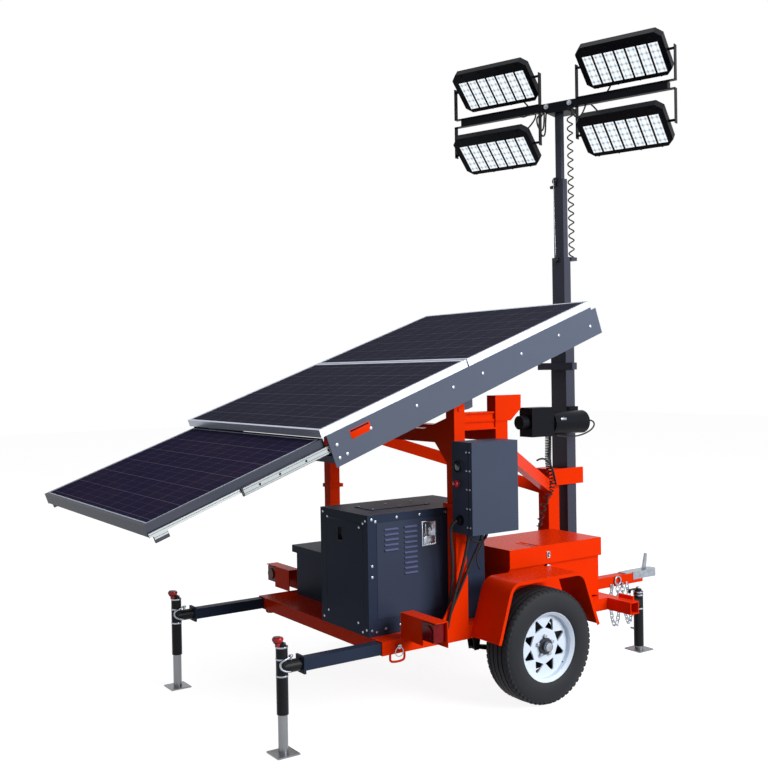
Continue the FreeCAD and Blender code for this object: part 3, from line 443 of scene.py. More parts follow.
def solar_glass(name, rim_light, panes, half_width, top, glass, lines, rough):
    """Glass inside each pane's rim, rim metal elsewhere."""
    def mask_maker(tree):
        u, y, w = array_axes(tree)
        wide = maths(tree, "ABSOLUTE", y)
        inside = either(tree, *[
            both(tree, above(tree, u, start + RIM_W), below(tree, u, end - RIM_W))
            for start, end in panes])
        return both(tree, inside, below(tree, wide, half_width - RIM_W),
                    above(tree, w, top - GLASS_DEPTH), below(tree, w, top + 0.001))
    rim = (rim_light, tuple(v * 0.9 for v in rim_light), 0.30, 0.45)
    material = two_finish(name, rim, (*glass, rough, 0.0), mask_maker, 0.0)
    tree = material.node_tree
    u, y, w = array_axes(tree)
    inner = mask_maker(tree)
    for along, cell, strength in (
            (u, CELL, LINE_STRENGTH), (y, CELL, LINE_STRENGTH), (u, CELL / 3, BUSBAR_STRENGTH)):
        line = grouped(tree, grid_tree, Along=along, Cell=cell, Line=LINE_W)["Mask"]
        overpaint(material, maths(tree, "MULTIPLY", both(tree, line, inner), strength), lines)
    weight = tree.nodes.new("ShaderNodeLayerWeight")
    weight.inputs["Blend"].default_value = 0.5
    flatness = maths(tree, "MULTIPLY", weight.outputs["Facing"], COAT_FADE)
    steep = maths(tree, "SUBTRACT", 1.0, flatness, clamp=True)
    coat = tree.nodes["Principled BSDF"].inputs["Coat Weight"]
    link(tree, maths(tree, "MULTIPLY", steep, COAT), coat)
    return material


fixed_panes = [(0.0, PANEL_U), (PANEL_U + PANEL_GAP, 2 * PANEL_U + PANEL_GAP)]
panel_glass = solar_glass(
    "panel_glass", (0.64, 0.69, 0.79), fixed_panes, PANEL_Y, 0.0,
    ((0.046, 0.046, 0.068), (0.038, 0.038, 0.058)), (0.40, 0.39, 0.52), 0.30)
drawer_glass = solar_glass(
    "drawer_glass", (0.042, 0.048, 0.070), [DRAWER_PANE], DRAWER_Y, DRAWER_TOP,
    ((0.044, 0.032, 0.058), (0.016, 0.018, 0.056)), (0.42, 0.34, 0.46), 0.16)
print("panes", [tuple(round(v, 4) for v in pane) for pane in fixed_panes])

# %% [markdown]
# The drawer runs on long steel slides. Their channels read as thin dark lines along the length,
# painted shade in each channel, and there is a darker end. The drawer's own side carries the third
# channel, so the same stripes go on it.

# %% Slide finish, with painted shade in the channels
STEEL_LIGHT, STEEL_DARK = (0.55, 0.59, 0.60), (0.44, 0.48, 0.50)
# dark as painted shade in the slides' channels, and also beyond their lips and at one end
GROOVE_SHADE_AND_DARK = (0.050, 0.056, 0.066)
SLIDE_W, DRAWER_SIDE_Y, SIDE_HALF = -0.118, 0.8093, 0.0210
CHANNEL, LIP, DARK_END = (0.0090, 0.0112), 0.0190, (-0.503, -0.492)


def off_middle(tree, w):
    """How far a point lies from the slides' middle line."""
    return maths(tree, "ABSOLUTE", maths(tree, "SUBTRACT", w, SLIDE_W))


def groove_shade_and_dark_mask(tree):
    u, y, w = array_axes(tree)
    off = off_middle(tree, w)
    channel = both(tree, above(tree, off, CHANNEL[0]), below(tree, off, CHANNEL[1]))
    end = both(tree, above(tree, u, DARK_END[0]), below(tree, u, DARK_END[1]))
    return either(tree, channel, above(tree, off, LIP), end)


slide_steel = two_finish("slide_steel", (STEEL_LIGHT, STEEL_DARK, 0.30, 0.2),
                         (GROOVE_SHADE_AND_DARK, GROOVE_SHADE_AND_DARK, 0.45, 0.0), groove_shade_and_dark_mask, 0.2)
tree = drawer_glass.node_tree
u, y, w = array_axes(tree)
on_side = both(tree, above(tree, maths(tree, "ABSOLUTE", y), DRAWER_SIDE_Y),
               below(tree, off_middle(tree, w), SIDE_HALF))
overpaint(drawer_glass, on_side, STEEL_LIGHT)
overpaint(drawer_glass, both(tree, on_side, groove_shade_and_dark_mask(tree)), GROOVE_SHADE_AND_DARK)

# %% [markdown]
# The wheel is one white pressing with a dark hub, and all behind its openings is painted dark as
# shade. Three materials would need the solid's faces sorted by hand. The distance from the axle
# line and the place across the wheel tell them apart instead, so one material does for both wheels.

# %% Wheel finish, with painted shade behind the openings
TYRE_R, TYRE_Y = 338.0, 875.3
HUB_R, HUB_OUT, OPENINGS_R, DISC_IN = 0.0705, 0.0455, 0.185, 0.026


def hub_and_shade_mask(tree):
    x, y, z = local_axes(tree, 0.0, at(0, 0, TYRE_R))
    squares = maths(tree, "ADD", maths(tree, "MULTIPLY", x, x), maths(tree, "MULTIPLY", z, z))
    away = maths(tree, "SQRT", squares)
    across = maths(tree, "ABSOLUTE", y)
    middle = TYRE_Y / 1000
    hub = both(tree, below(tree, away, HUB_R), above(tree, across, middle + HUB_OUT))
    # painted shade: the barrel behind the disc and all inside the openings get the hub's dark tone
    behind = both(tree, below(tree, away, OPENINGS_R), below(tree, across, middle + DISC_IN))
    return either(tree, hub, behind)


white_rim = two_finish(
    "wheel_white_black_hub_and_shade", ((0.74, 0.83, 0.95), (0.68, 0.77, 0.90), 0.26, 0.0),
    ((0.022, 0.026, 0.036), (0.014, 0.017, 0.024), 0.34, 0.0), hub_and_shade_mask, 0.35)

# %% [markdown]
# Louvres and jacks. The hoods of the generator's side panel catch the light, so whatever stands
# out from the panel's face gets a paler colour, a painted highlight. A jack's sleeve is black
# paint, but its inner leg and foot plate are bright metal, and height tells them apart.

# %% Louvre highlight and jack finishes
HOOD_Y = -0.6093


def hood_highlight_mask(tree):
    return below(tree, local_axes(tree)[1], HOOD_Y)


# the second, paler tone is a painted highlight on the hoods that stand out into the light
louvre_panel = two_finish(
    "generator_panel_painted_highlight", ((0.030, 0.041, 0.076), (0.024, 0.034, 0.064), 0.42, 0.0),
    ((0.120, 0.138, 0.270), (0.095, 0.112, 0.225), 0.38, 0.0), hood_highlight_mask, 0.15)


def jack_finish(name, sleeve_end):
    return two_finish(
        name, ((0.016, 0.017, 0.020), (0.010, 0.011, 0.013), 0.30, 0.0),
        ((0.30, 0.31, 0.33), (0.17, 0.18, 0.19), 0.32, 0.8),
        lambda tree: below(tree, local_axes(tree)[2], sleeve_end), 0.1)


rear_jack, front_jack = jack_finish("jack_rear", 0.2049), jack_finish("jack_front", 0.1619)

# %% [markdown]
# Every solid gets its finish from this list. Dragging materials on by hand would be lost when
# the frame is built again, while a list by name holds, and the printed line names any that is
# missed.

# %% Finishes of the solids
FINISHES = (
    (orange, "side_rails cross_members tongue fenders front_box front_box_lid tower_posts "
             "tower_gussets tower_beam tower_arms tower_crossbar mast_post braces lamp_brackets "
             "front_jack_mounts"),
    (charcoal, "generator_housing battery_box battery_box_lid outrigger_left outrigger_right"),
    (louvre_panel, "generator_panel"),
    (control_satin, "control_box"),
    (slate, "array_sides array_crossbars array_webs"),
    (mast_grey, "mast_base mast_second mast_third mast_top mast_fittings"),
    (black, "head_bar axle leaf_springs generator_block winch lamp_upper_left lamp_upper_right "
            "lamp_lower_left lamp_lower_right"),
    (rear_jack, "rear_jack_left rear_jack_right"),
    (front_jack, "front_jack_left front_jack_right"),
    (zinc, "coupler"),
    (slide_steel, "drawer_slides array_rails"),
    (white_rim, "rim_left rim_right"),
    (rubber, "tyre_left tyre_right"),
    (panel_glass, "array_panels"),
    (drawer_glass, "drawer"),
    (lamp_red, "tail_lamps"),
    (cable, "curly_cord"),
)
done = set()
for material, names in FINISHES:
    for name in names.split():
        if not nodes[name].material_slots:
            nodes[name].data.materials.append(material)
        for slot in nodes[name].material_slots:
            slot.material = material
        done.add(name)
print("nodes without a finish:", sorted(set(nodes) - done))

# %% [markdown]
# Tyres. A road tyre is a body of revolution with blocks cut into its shoulders. The body is a
# profile spun about the axle, with four grooves round the tread, and the blocks are one small
# wedge copied round the shoulder, so the mesh stays light. It replaces the plain solid tyre.

# %% Tyre body
TYRE_HALF = (
    # across from the middle, up from the axle
    (-79.5, 191.4), (-93.5, 210), (-101, 238), (-101.5, 265), (-98, 292), (-92, 314), (-80, 329),
    (-64, 333), (-56, 333.5), (-55, 326.5), (-48, 326.5), (-47, 335), (-23, 336), (-22, 328.5),
    (-15, 328.5), (-14, 336.5),
)
TYRE_PROFILE = TYRE_HALF + tuple((-across, up) for across, up in reversed(TYRE_HALF))
SPIN_STEPS, TREAD_SHARP = 96, math.radians(28)


def outward(o):
    """Merges doubles and turns every face outwards, needed after a spin."""
    pick(o)
    bpy.ops.object.mode_set(mode="EDIT")
    bpy.ops.mesh.select_all(action="SELECT")
    bpy.ops.mesh.remove_doubles(threshold=0.00001)
    bpy.ops.mesh.normals_make_consistent(inside=False)
    bpy.ops.object.mode_set(mode="OBJECT")
    return o


def tyre_body(side):
    """The profile as one loop of edges above the axle, spun a full turn."""
    mesh = bpy.data.meshes.new("tyre_profile")
    points = [at(0, side * TYRE_Y + across, TYRE_R + up) for across, up in TYRE_PROFILE]
    mesh.from_pydata(points, [(i, (i + 1) % len(points)) for i in range(len(points))], [])
    o = bpy.data.objects.new("tyre_body", mesh)
    bpy.context.scene.collection.objects.link(o)
    pick(o)
    bpy.ops.object.mode_set(mode="EDIT")
    bpy.ops.mesh.select_all(action="SELECT")
    bpy.ops.mesh.spin(
        steps=SPIN_STEPS, angle=math.tau, center=at(0, side * TYRE_Y, TYRE_R), axis=(0, 1, 0))
    bpy.ops.object.mode_set(mode="OBJECT")
    return outward(o)


# %% Shoulder lugs
BLOCKS_ROUND = 58
LUG_IN, LUG_OUT, LUG_LOW, LUG_HIGH, LUG_HALF = 0.066, 0.0915, 0.303, 0.3350, 0.0120
LUG_SLANT, LUG_DROP = 0.35, 0.62


def shoulder_blocks(side):
    """Slanting lugs over both shoulders, one made and the rest copied round the axle."""
    centre = at(0, side * TYRE_Y, TYRE_R)
    made = []
    for edge in (-1, 1):
        near, far = sorted((edge * LUG_IN, edge * LUG_OUT))
        lug = block(centre + Vector((-LUG_HALF, near, LUG_LOW)),
                    centre + Vector((LUG_HALF, far, LUG_HIGH)), 0.0015)
        for v in lug.data.vertices:
            out = abs(v.co.y - centre.y) - LUG_IN
            v.co.x += out * LUG_SLANT
            v.co.z -= max(0.0, out - 0.010) * LUG_DROP
        spread = []
        for i in range(BLOCKS_ROUND):
            turn = Matrix.Rotation(math.tau / BLOCKS_ROUND * (i + 0.25 * edge), 4, "Y")
            spread.append(Matrix.Translation(centre) @ turn @ Matrix.Translation(-centre))
        made.append(copies("lugs", lug, spread))
    return made


for side, name in SIDES:
    whole = joined("tyre_tread_" + name, [tyre_body(side)] + shoulder_blocks(side))
    bpy.ops.object.shade_smooth_by_angle(angle=TREAD_SHARP)
    dress(whole, "wheel_" + name, rubber)
    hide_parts("tyre_" + name)

# %% [markdown]
# Hub. The cap in the middle is bright, and five nuts stand round it. A black disc behind the
# wheel's openings stands for the brake drum as painted shade, and a valve stem stands near the
# rim's edge. All are turned, so cylinders with rounded ends give them with few faces, and a nut is
# a cylinder with six sides.

# %% Hub cap, nuts, drum and valve
NUTS, NUT_CIRCLE, DISC_OUT = 5, 57, 40
for side, name in SIDES:
    wheel = "wheel_" + name
    out, middle = side * (TYRE_Y + DISC_OUT), side * TYRE_Y
    fit("hub_cap_" + name, wheel, zinc,
        bar((0, out + side * 20.5, TYRE_R), (0, out + side * 47.6, TYRE_R), 0.0287, 0.006, 32))
    nuts = []
    for i in range(NUTS):
        a = math.tau / NUTS * i
        x, z = NUT_CIRCLE * math.sin(a), TYRE_R + NUT_CIRCLE * math.cos(a)
        nuts.append(bar((x, out + side * 5.4, z), (x, out + side * 19.5, z), 0.0118, 0.0015, 6))
    fit("wheel_nuts_" + name, wheel, zinc, *nuts)
    # a black disc as painted shade behind the openings, standing for the brake drum
    fit("shade_drum_" + name, wheel, black,
        bar((0, middle - side * 62, TYRE_R), (0, middle - side * 20, TYRE_R), 0.150, 0.004, 48))
    fit("valve_stem_" + name, wheel, black,
        bar((140, out + side * 4, 220), (146, out + side * 30, 214), 0.0045, 0.001, 12))

# %% [markdown]
# Lamps. Each floodlight has seven tall windows with rows of small light emitters behind clear
# lenses. A window is a thin lens plate that fills the solid's slot, with an emitting material:
# white, slightly blue, with a fine grid of warmer dots. Strength 1 gives plain white without
# lighting the rest of the scene.

# %% Lens material
LENS_STOPS = (
    # distance from an emitter in pitches, colour
    (0.0, (0.98, 0.88, 0.84)), (0.10, (1.0, 0.99, 0.98)), (0.36, (0.97, 1.0, 1.0)),
    (0.50, (0.62, 0.76, 0.86)), (0.66, (0.36, 0.30, 0.36)),
)


def lens_finish():
    material, tree, inputs = new_material("lens_strip")
    coords = tree.nodes.new("ShaderNodeUVMap")
    coords.uv_map = "lens"
    cells = tree.nodes.new("ShaderNodeTexVoronoi")
    cells.inputs["Scale"].default_value = 1.0
    cells.inputs["Randomness"].default_value = 0.0
    link(tree, coords.outputs["UV"], cells.inputs["Vector"])
    ramp = tree.nodes.new("ShaderNodeValToRGB")
    stops = ramp.color_ramp.elements
    while len(stops) < len(LENS_STOPS):
        stops.new(0.5)
    for stop, (position, colour) in zip(stops, LENS_STOPS):
        stop.position = position
        stop.color = (*colour, 1)
    link(tree, cells.outputs["Distance"], ramp.inputs["Fac"])
    link(tree, ramp.outputs["Color"], inputs["Emission Color"])
    link(tree, mixed(tree, 0.06, (0.02, 0.02, 0.02), ramp.outputs["Color"]), inputs["Base Color"])
    inputs["Emission Strength"].default_value = 1.0
    inputs["Roughness"].default_value = 0.25
    inputs["Specular IOR Level"].default_value = 0.1
    return material


lens_material = lens_finish()

# %% Lamp places
HEAD_TURN, LAMP_TILT = math.radians(19.5), math.radians(49)
PIVOT_X, PIVOT_Y, PIVOT_Z = -0.014, 0.500, 0.238
HEAD = Matrix.Translation(at(1076.8, 0, 3822)) @ Matrix.Rotation(HEAD_TURN, 4, "Z")
LAMPS = [(side, up, f"lamp_{level}_{name}")
         for side, name in SIDES for up, level in ((1, "upper"), (-1, "lower"))]


def lamp_place(side, up):
    """From the lamp's own axes, its windows facing -X, to the frame."""
    pivot = Vector((PIVOT_X, side * PIVOT_Y, up * PIVOT_Z))
    return HEAD @ Matrix.Translation(pivot) @ Matrix.Rotation(-LAMP_TILT, 4, "Y")


# %% Lenses and frame bolts
LENS_W, LENS_H, LENS_DROP, LENS_RIB, LENS_STRIPS = 0.541, 0.236, 0.024, 0.012, 7
LENS_FIT, LENS_BACK, LENS_FRONT, LAMP_FACE = 0.0004, -0.0285, -0.034, -0.052
EMITTERS_WIDE, EMITTERS_HIGH = 2, 5
strip_w = (LENS_W - (LENS_STRIPS - 1) * LENS_RIB) / LENS_STRIPS


def lens_plate(i):
    """One window's lens, a little inside the frame, with a UV map in emitter pitches."""
    a = -LENS_W / 2 + i * (strip_w + LENS_RIB)
    low = Vector((LENS_FRONT, a + LENS_FIT, -LENS_DROP - LENS_H / 2 + LENS_FIT))
    high = Vector((LENS_BACK, a + strip_w - LENS_FIT, -LENS_DROP + LENS_H / 2 - LENS_FIT))
    o = block(low, high, 0.0012)
    uv = o.data.uv_layers.new(name="lens")
    for loop in o.data.loops:
        co = o.data.vertices[loop.vertex_index].co
        across, up = (co.y - a) / strip_w, (co.z - low.z) / LENS_H
        uv.data[loop.index].uv = (across * EMITTERS_WIDE, up * EMITTERS_HIGH)
    return o


for side, up, body in LAMPS:
    place = lamp_place(side, up)
    lenses = fit(body + "_lenses", body, lens_material, *map(lens_plate, range(LENS_STRIPS)))
    bolts = fit(body + "_bolts", body, black, *[
        rod((LAMP_FACE + 0.0005, y, z), (LAMP_FACE - 0.004, y, z), 0.0075, 0.0015, 12)
        for y in (-0.230, -0.080, 0.080, 0.230) for z in (-0.155, 0.142)])
    lenses.data.transform(place)
    bolts.data.transform(place)

# %% [markdown]
# Small fasteners. All screws are one domed head, copied to the places where they show: the edge
# rows of the generator, the flange of the control box, and the side plates of the array. A head
# is a short cylinder whose outer edge is rounded a lot.

# %% Screw heads
SCREW_LOW, SCREW_HIGH = -0.0006, 0.0035


def facing(direction):
    """The turn that makes a piece built along Z face the given way."""
    return Vector(direction).to_track_quat("Z", "Y").to_matrix().to_4x4()


def screw_head(radius, edge):
    return rod((0, 0, SCREW_LOW), (0, 0, SCREW_HIGH), radius, edge, 14)


def screws(name, places, direction, radius):
    """Domed heads at places in millimetres, all facing the same way."""
    head = screw_head(radius, radius * 0.35)
    spread = [Matrix.Translation(at(*p)) @ facing(direction) for p in places]
    return dress(copies(name, head, spread), "trailer", zinc)


GEN_REAR, GEN_NEAR, HATCH_TOP, BOX_REAR = -1010.9, -606.5, 1158.7, -508.8
screws("generator_side_screws", [(x, GEN_NEAR, z) for x, z in (
    (-985, 1131), (-815, 1131), (-655, 1131), (-475, 1131), (-260, 1131), (-960, 1118),
    (-985, 873), (-985, 812), (-990, 516), (-960, 503), (-900, 516), (-800, 523), (-480, 523))],
    (0, -1, 0), 0.0085)
screws("generator_rear_screws", [(GEN_REAR, y, z) for y, z in (
    (-585, 1124), (-560, 1108), (-520, 1082), (-180, 1108), (-130, 1132),
    (-585, 520), (-545, 502), (-500, 545), (-180, 560), (-130, 515))], (-1, 0, 0), 0.0075)
screws("hatch_screws", [(x, y, HATCH_TOP) for x in (-855, -665, -475) for y in (-425, -275)],
       (0, 0, 1), 0.0065)
screws("control_box_screws", [(BOX_REAR, y, z) for y in (-884, -857)
                              for z in (1070, 1174, 1282, 1387, 1491)], (-1, 0, 0), 0.006)

# %% Screws on the array's side plates
ARRAY = Matrix.Translation(ARRAY_LOW) @ Matrix.Rotation(-ARRAY_TILT, 4, "Y")
PLATE_FACE = 0.8352
PLATE_SCREWS = (
    # up the slope and square to it
    (68, -109), (60, -178), (109, -177), (291, -110), (610, -112), (880, -110), (1106, -113),
    (1420, -112), (1740, -112), (2010, -150),
)
heads = [Matrix.Translation(ARRAY @ Vector((u / 1000, side * PLATE_FACE, w / 1000)))
         @ facing((0, side, 0)) for side in (-1, 1) for u, w in PLATE_SCREWS]
dress(copies("array_plate_screws", screw_head(0.0095, 0.003), heads), "array", zinc)

# %% [markdown]
# The curly cord beside the mast carries the lamps' supply and stretches as the mast goes up.
# It is a helix of sixteen turns, each a smooth ring with sixteen points, made as a tube along a
# NURBS spline. The tube is kept on neither section of the mast.

# %% Smooth lines and tubes
def spline_points(points):
    """Points read from one smooth NURBS line through control points, with no thickness."""
    curve = bpy.data.curves.new("route", "CURVE")
    curve.dimensions = "3D"
    curve.resolution_u = 6
    line = curve.splines.new("NURBS")
    line.points.add(len(points) - 1)
    for target, p in zip(line.points, points):
        target.co = (*p, 1)
    line.order_u = 3
    line.use_endpoint_u = True
    o = bpy.data.objects.new("route", curve)
    bpy.context.scene.collection.objects.link(o)
    bpy.context.view_layer.update()
    mesh = bpy.data.meshes.new_from_object(o)
    path = [v.co.copy() for v in mesh.vertices]
    bpy.data.objects.remove(o)
    bpy.data.meshes.remove(mesh)
    return path


def smooth_line(points):
    """A smooth line through places in millimetres."""
    return spline_points([at(*p) for p in points])


def tube(path, radius, sides=8):
    """A tube of rings along the path; each ring is turned from the last by the least angle."""
    bm = bmesh.new()
    rings = []
    across = None
    for i, p in enumerate(path):
        ahead = path[min(i + 1, len(path) - 1)] - path[max(i - 1, 0)]
        ahead.normalize()
        if across is None:
            across = ahead.orthogonal().normalized()
        across = (across - ahead * across.dot(ahead)).normalized()
        other = ahead.cross(across)
        angles = [math.tau * k / sides for k in range(sides)]
        rings.append([
            bm.verts.new(p + (across * math.cos(a) + other * math.sin(a)) * radius)
            for a in angles])
    for a, b in zip(rings, rings[1:]):
        for k in range(sides):
            bm.faces.new((a[k], a[(k + 1) % sides], b[(k + 1) % sides], b[k]))
    bm.faces.new(rings[0][::-1])
    bm.faces.new(rings[-1])
    bmesh.ops.recalc_face_normals(bm, faces=bm.faces)
    mesh = bpy.data.meshes.new("tube")
    bm.to_mesh(mesh)
    bm.free()
    o = bpy.data.objects.new("tube", mesh)
    bpy.context.scene.collection.objects.link(o)
    for face in mesh.polygons:
        face.use_smooth = True
    return o


# %% Cords that ride one body, and cords kept on none
def length_of(path):
    return round(sum((b - a).length for a, b in zip(path, path[1:])), 3)


def as_cord(o, path):
    """Prints a cord's name and its length along the path."""
    print(o.name, length_of(path), "m")


def riding_cord(name, path, radius, body, sides=8):
    as_cord(fit(name, body, cable, tube(path, radius, sides)), path)


def stretching_cord(name, path, radius, material, sides=8, stands_for=None):
    """A cord along the path, kept on no body, in place of the solid it stands for."""
    o = joined(name, [tube(path, radius, sides)])
    o.data.materials.append(material)
    if stands_for:
        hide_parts(stands_for)
    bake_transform(o)
    as_cord(o, path)


# %% The mast's curly cord
CORD_LOW, CORD_HIGH = 2740.0, 3765.3
CORD_X, CORD_Y = 1136.8, -45.0
TURNS, PER_TURN, COIL_R = 16, 16, 0.0185
coil = []
for i in range(TURNS * PER_TURN + 1):
    t = i / (TURNS * PER_TURN)
    a = math.tau * TURNS * t
    z = CORD_LOW + 4 + (CORD_HIGH - CORD_LOW - 8) * t
    coil.append(at(CORD_X, CORD_Y, z) + Vector((COIL_R * math.cos(a), COIL_R * math.sin(a), 0)))
stretching_cord(
    "curly_cord_coil", spline_points(coil), 0.0050, cable,
    stands_for="curly_cord")

# %% [markdown]
# The generator's latch is a bright dished plate with a paddle, made from one block whose front
# face is inset and pushed in, and it is left bare. Vent holes and seams could be cut into the
# sheet, but the solids stay as they are, and from a step away a dark sliver that stands a
# fraction of a millimetre proud looks the same. On the vent holes that dark is painted shade, for
# the inside of each hole.

# %% Dished plates
def front_face(o, direction):
    """Selects only the largest face of o that looks the given way."""
    pick(o)
    bpy.ops.object.mode_set(mode="EDIT")
    bpy.ops.mesh.select_mode(type="FACE")
    bpy.ops.mesh.select_all(action="DESELECT")
    bpy.ops.object.mode_set(mode="OBJECT")
    direction = Vector(direction)
    flat = [f for f in o.data.polygons if f.normal.dot(direction) > 0.99]
    max(flat, key=lambda f: f.area).select = True
    bpy.ops.object.mode_set(mode="EDIT")


def dished(o, direction, rim, depth):
    """Insets the front face of o by rim and pushes it in by depth."""
    front_face(o, direction)
    bpy.ops.mesh.inset(thickness=rim, depth=0)
    push = Vector(direction) * -depth
    bpy.ops.mesh.extrude_region_move(TRANSFORM_OT_translate={"value": push})
    bpy.ops.object.mode_set(mode="OBJECT")
    return o


# %% Paddle latch, and painted shade for the vent holes on the side panel
FACE = -608.7
fit("paddle_latch", "trailer", zinc,
    dished(slab((-645, FACE - 5, 948), (-543, FACE, 1089), 0.0018), (0, -1, 0), 0.009, 0.0025),
    slab((-634, FACE - 8, 958), (-554, FACE - 2, 1000), 0.0028),
    slab((-630, FACE - 12, 996), (-558, FACE - 2, 1004), 0.0025),
    bar((-588, FACE - 2, 1042), (-588, FACE - 10, 1042), 0.013, 0.002),
    slab((-622, FACE - 6, 1022), (-614, FACE - 2, 1074), 0.0015))
# black discs as painted shade inside the vent holes
fit("panel_vent_hole_shade", "trailer", black, *[
    bar((-516, FACE + 1, z), (-516, FACE - 0.6, z), 0.0045, 0.0002, 12)
    for z in (948, 975, 1002, 1029, 1056, 1083)])

# %% Seams of the generator's rear panel, and painted shade in its hand slot
seams = [slab((-1011.5, y0, z0), (-1010.7, y1, z1), 0.0001) for y0, y1, z0, z1 in (
    (-161, -157, 560, 1102), (-552, -548, 560, 1106), (-552, -157, 1101, 1105))]
# a black dished cup as painted shade in the hand slot's recess; the seams are dark joints
slot_shade_cup = slab((-1011.2, -352, 981), (-1001, -289, 1064), 0.0015)
fit("rear_panel_seams_and_slot_shade", "trailer", black, *seams, dished(slot_shade_cup, (-1, 0, 0), 0.004, 0.008))

# %% [markdown]
# Control box fittings: a round gauge with a dark glass and a black ring, a red stop knob shaped
# like a mushroom, and a black gland where the cables go in. All are turned shapes, and a turned
# shape starts as a cylinder whose end edges are rounded as much as the real one's.

# %% Gauge, knob, gland and the box's door seam
GAUGE, KNOB, GLAND = (-790, 1407), (-795, 1311), (-799, 1105)


def turned(where, x0, x1, radius, edge, sides):
    """A turned piece along X, on a centre given across and up."""
    return bar((x0, *where), (x1, *where), radius, edge, sides)


fit("gauge_bezel", "trailer", black,
    dished(turned(GAUGE, -519, -527, 0.033, 0.003, 40), (-1, 0, 0), 0.005, 0.004))
fit("gauge_face", "trailer", gauge_glass, turned(GAUGE, -521, -524.5, 0.0265, 0.0012, 40))
fit("stop_knob", "trailer", red, turned(KNOB, -524, -549, 0.020, 0.008, 32))
fit("cable_gland", "trailer", black, turned(GLAND, -508, -534, 0.023, 0.004, 8),
    turned(GLAND, -508.5, -515, 0.030, 0.002, 24))
fit("control_box_seam", "trailer", black, slab((-509.4, -873, 1029), (-508.6, -870, 1545), 0.0001))

# %% [markdown]
# Jacks. Each has bright bands round its sleeve, a pull pin, and a crank. The two rear cranks end
# in a red mushroom knob and have a bent wire handle at their pin, and the front cranks show only
# their hub. Everything but the handle is a rod with rounded ends. The handle is bent wire, so it
# is a tube along a smooth line through seven points.

# %% Jack fittings
RAIL_MID_Y = 687.6
REAR_JACK_X, FRONT_JACK_X, FRONT_JACK_Y = -1600.7, 928.0, 808.0
HANDLE = ((28, 34, 500), (6, 38, 492), (-16, 36, 486), (-30, 34, 470), (-22, 38, 442),
          (10, 40, 428), (34, 36, 424))


def upright(x, y, low, high, radius, edge, sides):
    return bar((x, y, low), (x, y, high), radius, edge, sides)


def bands(x, y, heights):
    return [upright(x, y, z, z + 9, 0.0330, 0.0015, 32) for z in heights]


for side, name in SIDES:
    body, x, y = "rear_jack_" + name, REAR_JACK_X, side * RAIL_MID_Y
    fit("rear_crank_knob_" + name, body, red, upright(x - 22, y, 578, 604, 0.0300, 0.011, 28),
        upright(x - 22, y, 553, 582, 0.0150, 0.003, 24))
    wire = smooth_line([(x + a, y - b, z) for a, b, z in HANDLE])
    fit("jack_handle_" + name, body, zinc, tube(wire, 0.0055, 10))
    fit("rear_jack_fittings_" + name, body, zinc, *bands(x, y, (484, 398, 545.5)),
        upright(x + 52, y, 443, 492, 0.0075, 0.0015, 16),
        upright(x + 52, y, 490, 500, 0.0125, 0.003, 16))
    body, x, y = "front_jack_" + name, FRONT_JACK_X, side * FRONT_JACK_Y
    fit("front_jack_fittings_" + name, body, zinc, *bands(x, y, (484, 398, 502.5)),
        bar((x, y - side * 28, 262), (x, y - side * 66, 262), 0.007, 0.0015, 16),
        upright(x, y, 526, 541, 0.013, 0.004, 24))

# %% [markdown]
# Front box latch: a keeper with a hook on the lid and a draw lever below it on the body. They are
# two pieces on two bodies, so the keeper goes up with the lid. The lid's grip is a shallow dish
# on its top, inset and pushed in as the latch plate is.

# %% Draw latch and grip
keeper = slab((297, -640.5, 772), (323, -636.2, 814), 0.0015)
fit("latch_keeper", "front_box_lid", zinc, dished(keeper, (0, -1, 0), 0.005, 0.0015),
    bar((303, -645, 790), (317, -645, 790), 0.0055, 0.001, 16),
    bar((310, -636, 790), (310, -648, 790), 0.0048, 0.001, 12))
fit("latch_lever", "trailer", zinc, slab((298, -641, 694), (322, -617, 733), 0.002),
    slab((302, -646, 700), (318, -640, 728), 0.0022),
    bar((297, -644, 724), (323, -644, 724), 0.0035, 0.001, 12))
grip = slab((200, -628, 852.2), (248, -452, 854.6), 0.001)
fit("lid_grip", "front_box_lid", orange, dished(grip, (0, 0, 1), 0.007, 0.0015))

# %% [markdown]
# The bar and mast head. Two bright bolts with washers hold the cross bar on its bracket, with a
# gusset plate below, and its lower corners are drawn in by moving the vertices of a block. A
# rope runs between two sheaves, at the third section's top and at the second's. A rope on one
# body would leave the other as they part, so it is kept on neither body.

# %% Bar bolts and gusset
def head_at(x, y, z):
    """A place in millimetres from the bar's middle, in its own turned axes."""
    return HEAD @ Vector((x / 1000, y / 1000, z / 1000))


fit("bar_bolts", "lamp_bar", zinc, *[
    rod(head_at(-25, y, 4), head_at(end, y, 4), radius, edge, 20)
    for end, radius, edge in ((-36, 0.0125, 0.004), (-27.5, 0.018, 0.0008)) for y in (-90, 90)])
gusset = block((-0.0325, -0.115, -0.058), (-0.0262, 0.115, -0.024), 0.0012)
for v in gusset.data.vertices:
    if v.co.z < -0.045:
        v.co.y *= 0.45
gusset.data.transform(HEAD)
fit("bar_gusset_plate", "lamp_bar", black, gusset)

# %% Sheaves, rope and stop on the mast
ROPE = ((1037, 27, 3306), (1036, 24, 3120), (1035, 18, 2920), (1034, 10, 2738))
fit("third_section_fittings", "mast_third", mast_black,
    bar((1040, 26, 3288), (1052, 26, 3288), 0.021, 0.003, 28),
    slab((1046, 14, 3250), (1055.4, 38, 3314), 0.0015),
    bar((1036, 26, 3288), (1046, 26, 3288), 0.006, 0.001, 14),
    bar((1066, 47, 3252), (1066, 84, 3252), 0.0125, 0.003, 20))
fit("second_section_fittings", "mast_second", mast_black,
    bar((1028, 8, 2724), (1040, 8, 2724), 0.0180, 0.003, 28),
    slab((1036, -6, 2705), (1045.2, 22, 2741), 0.0015))
stretching_cord("mast_rope", smooth_line(ROPE), 0.0028, zinc,
                sides=6)
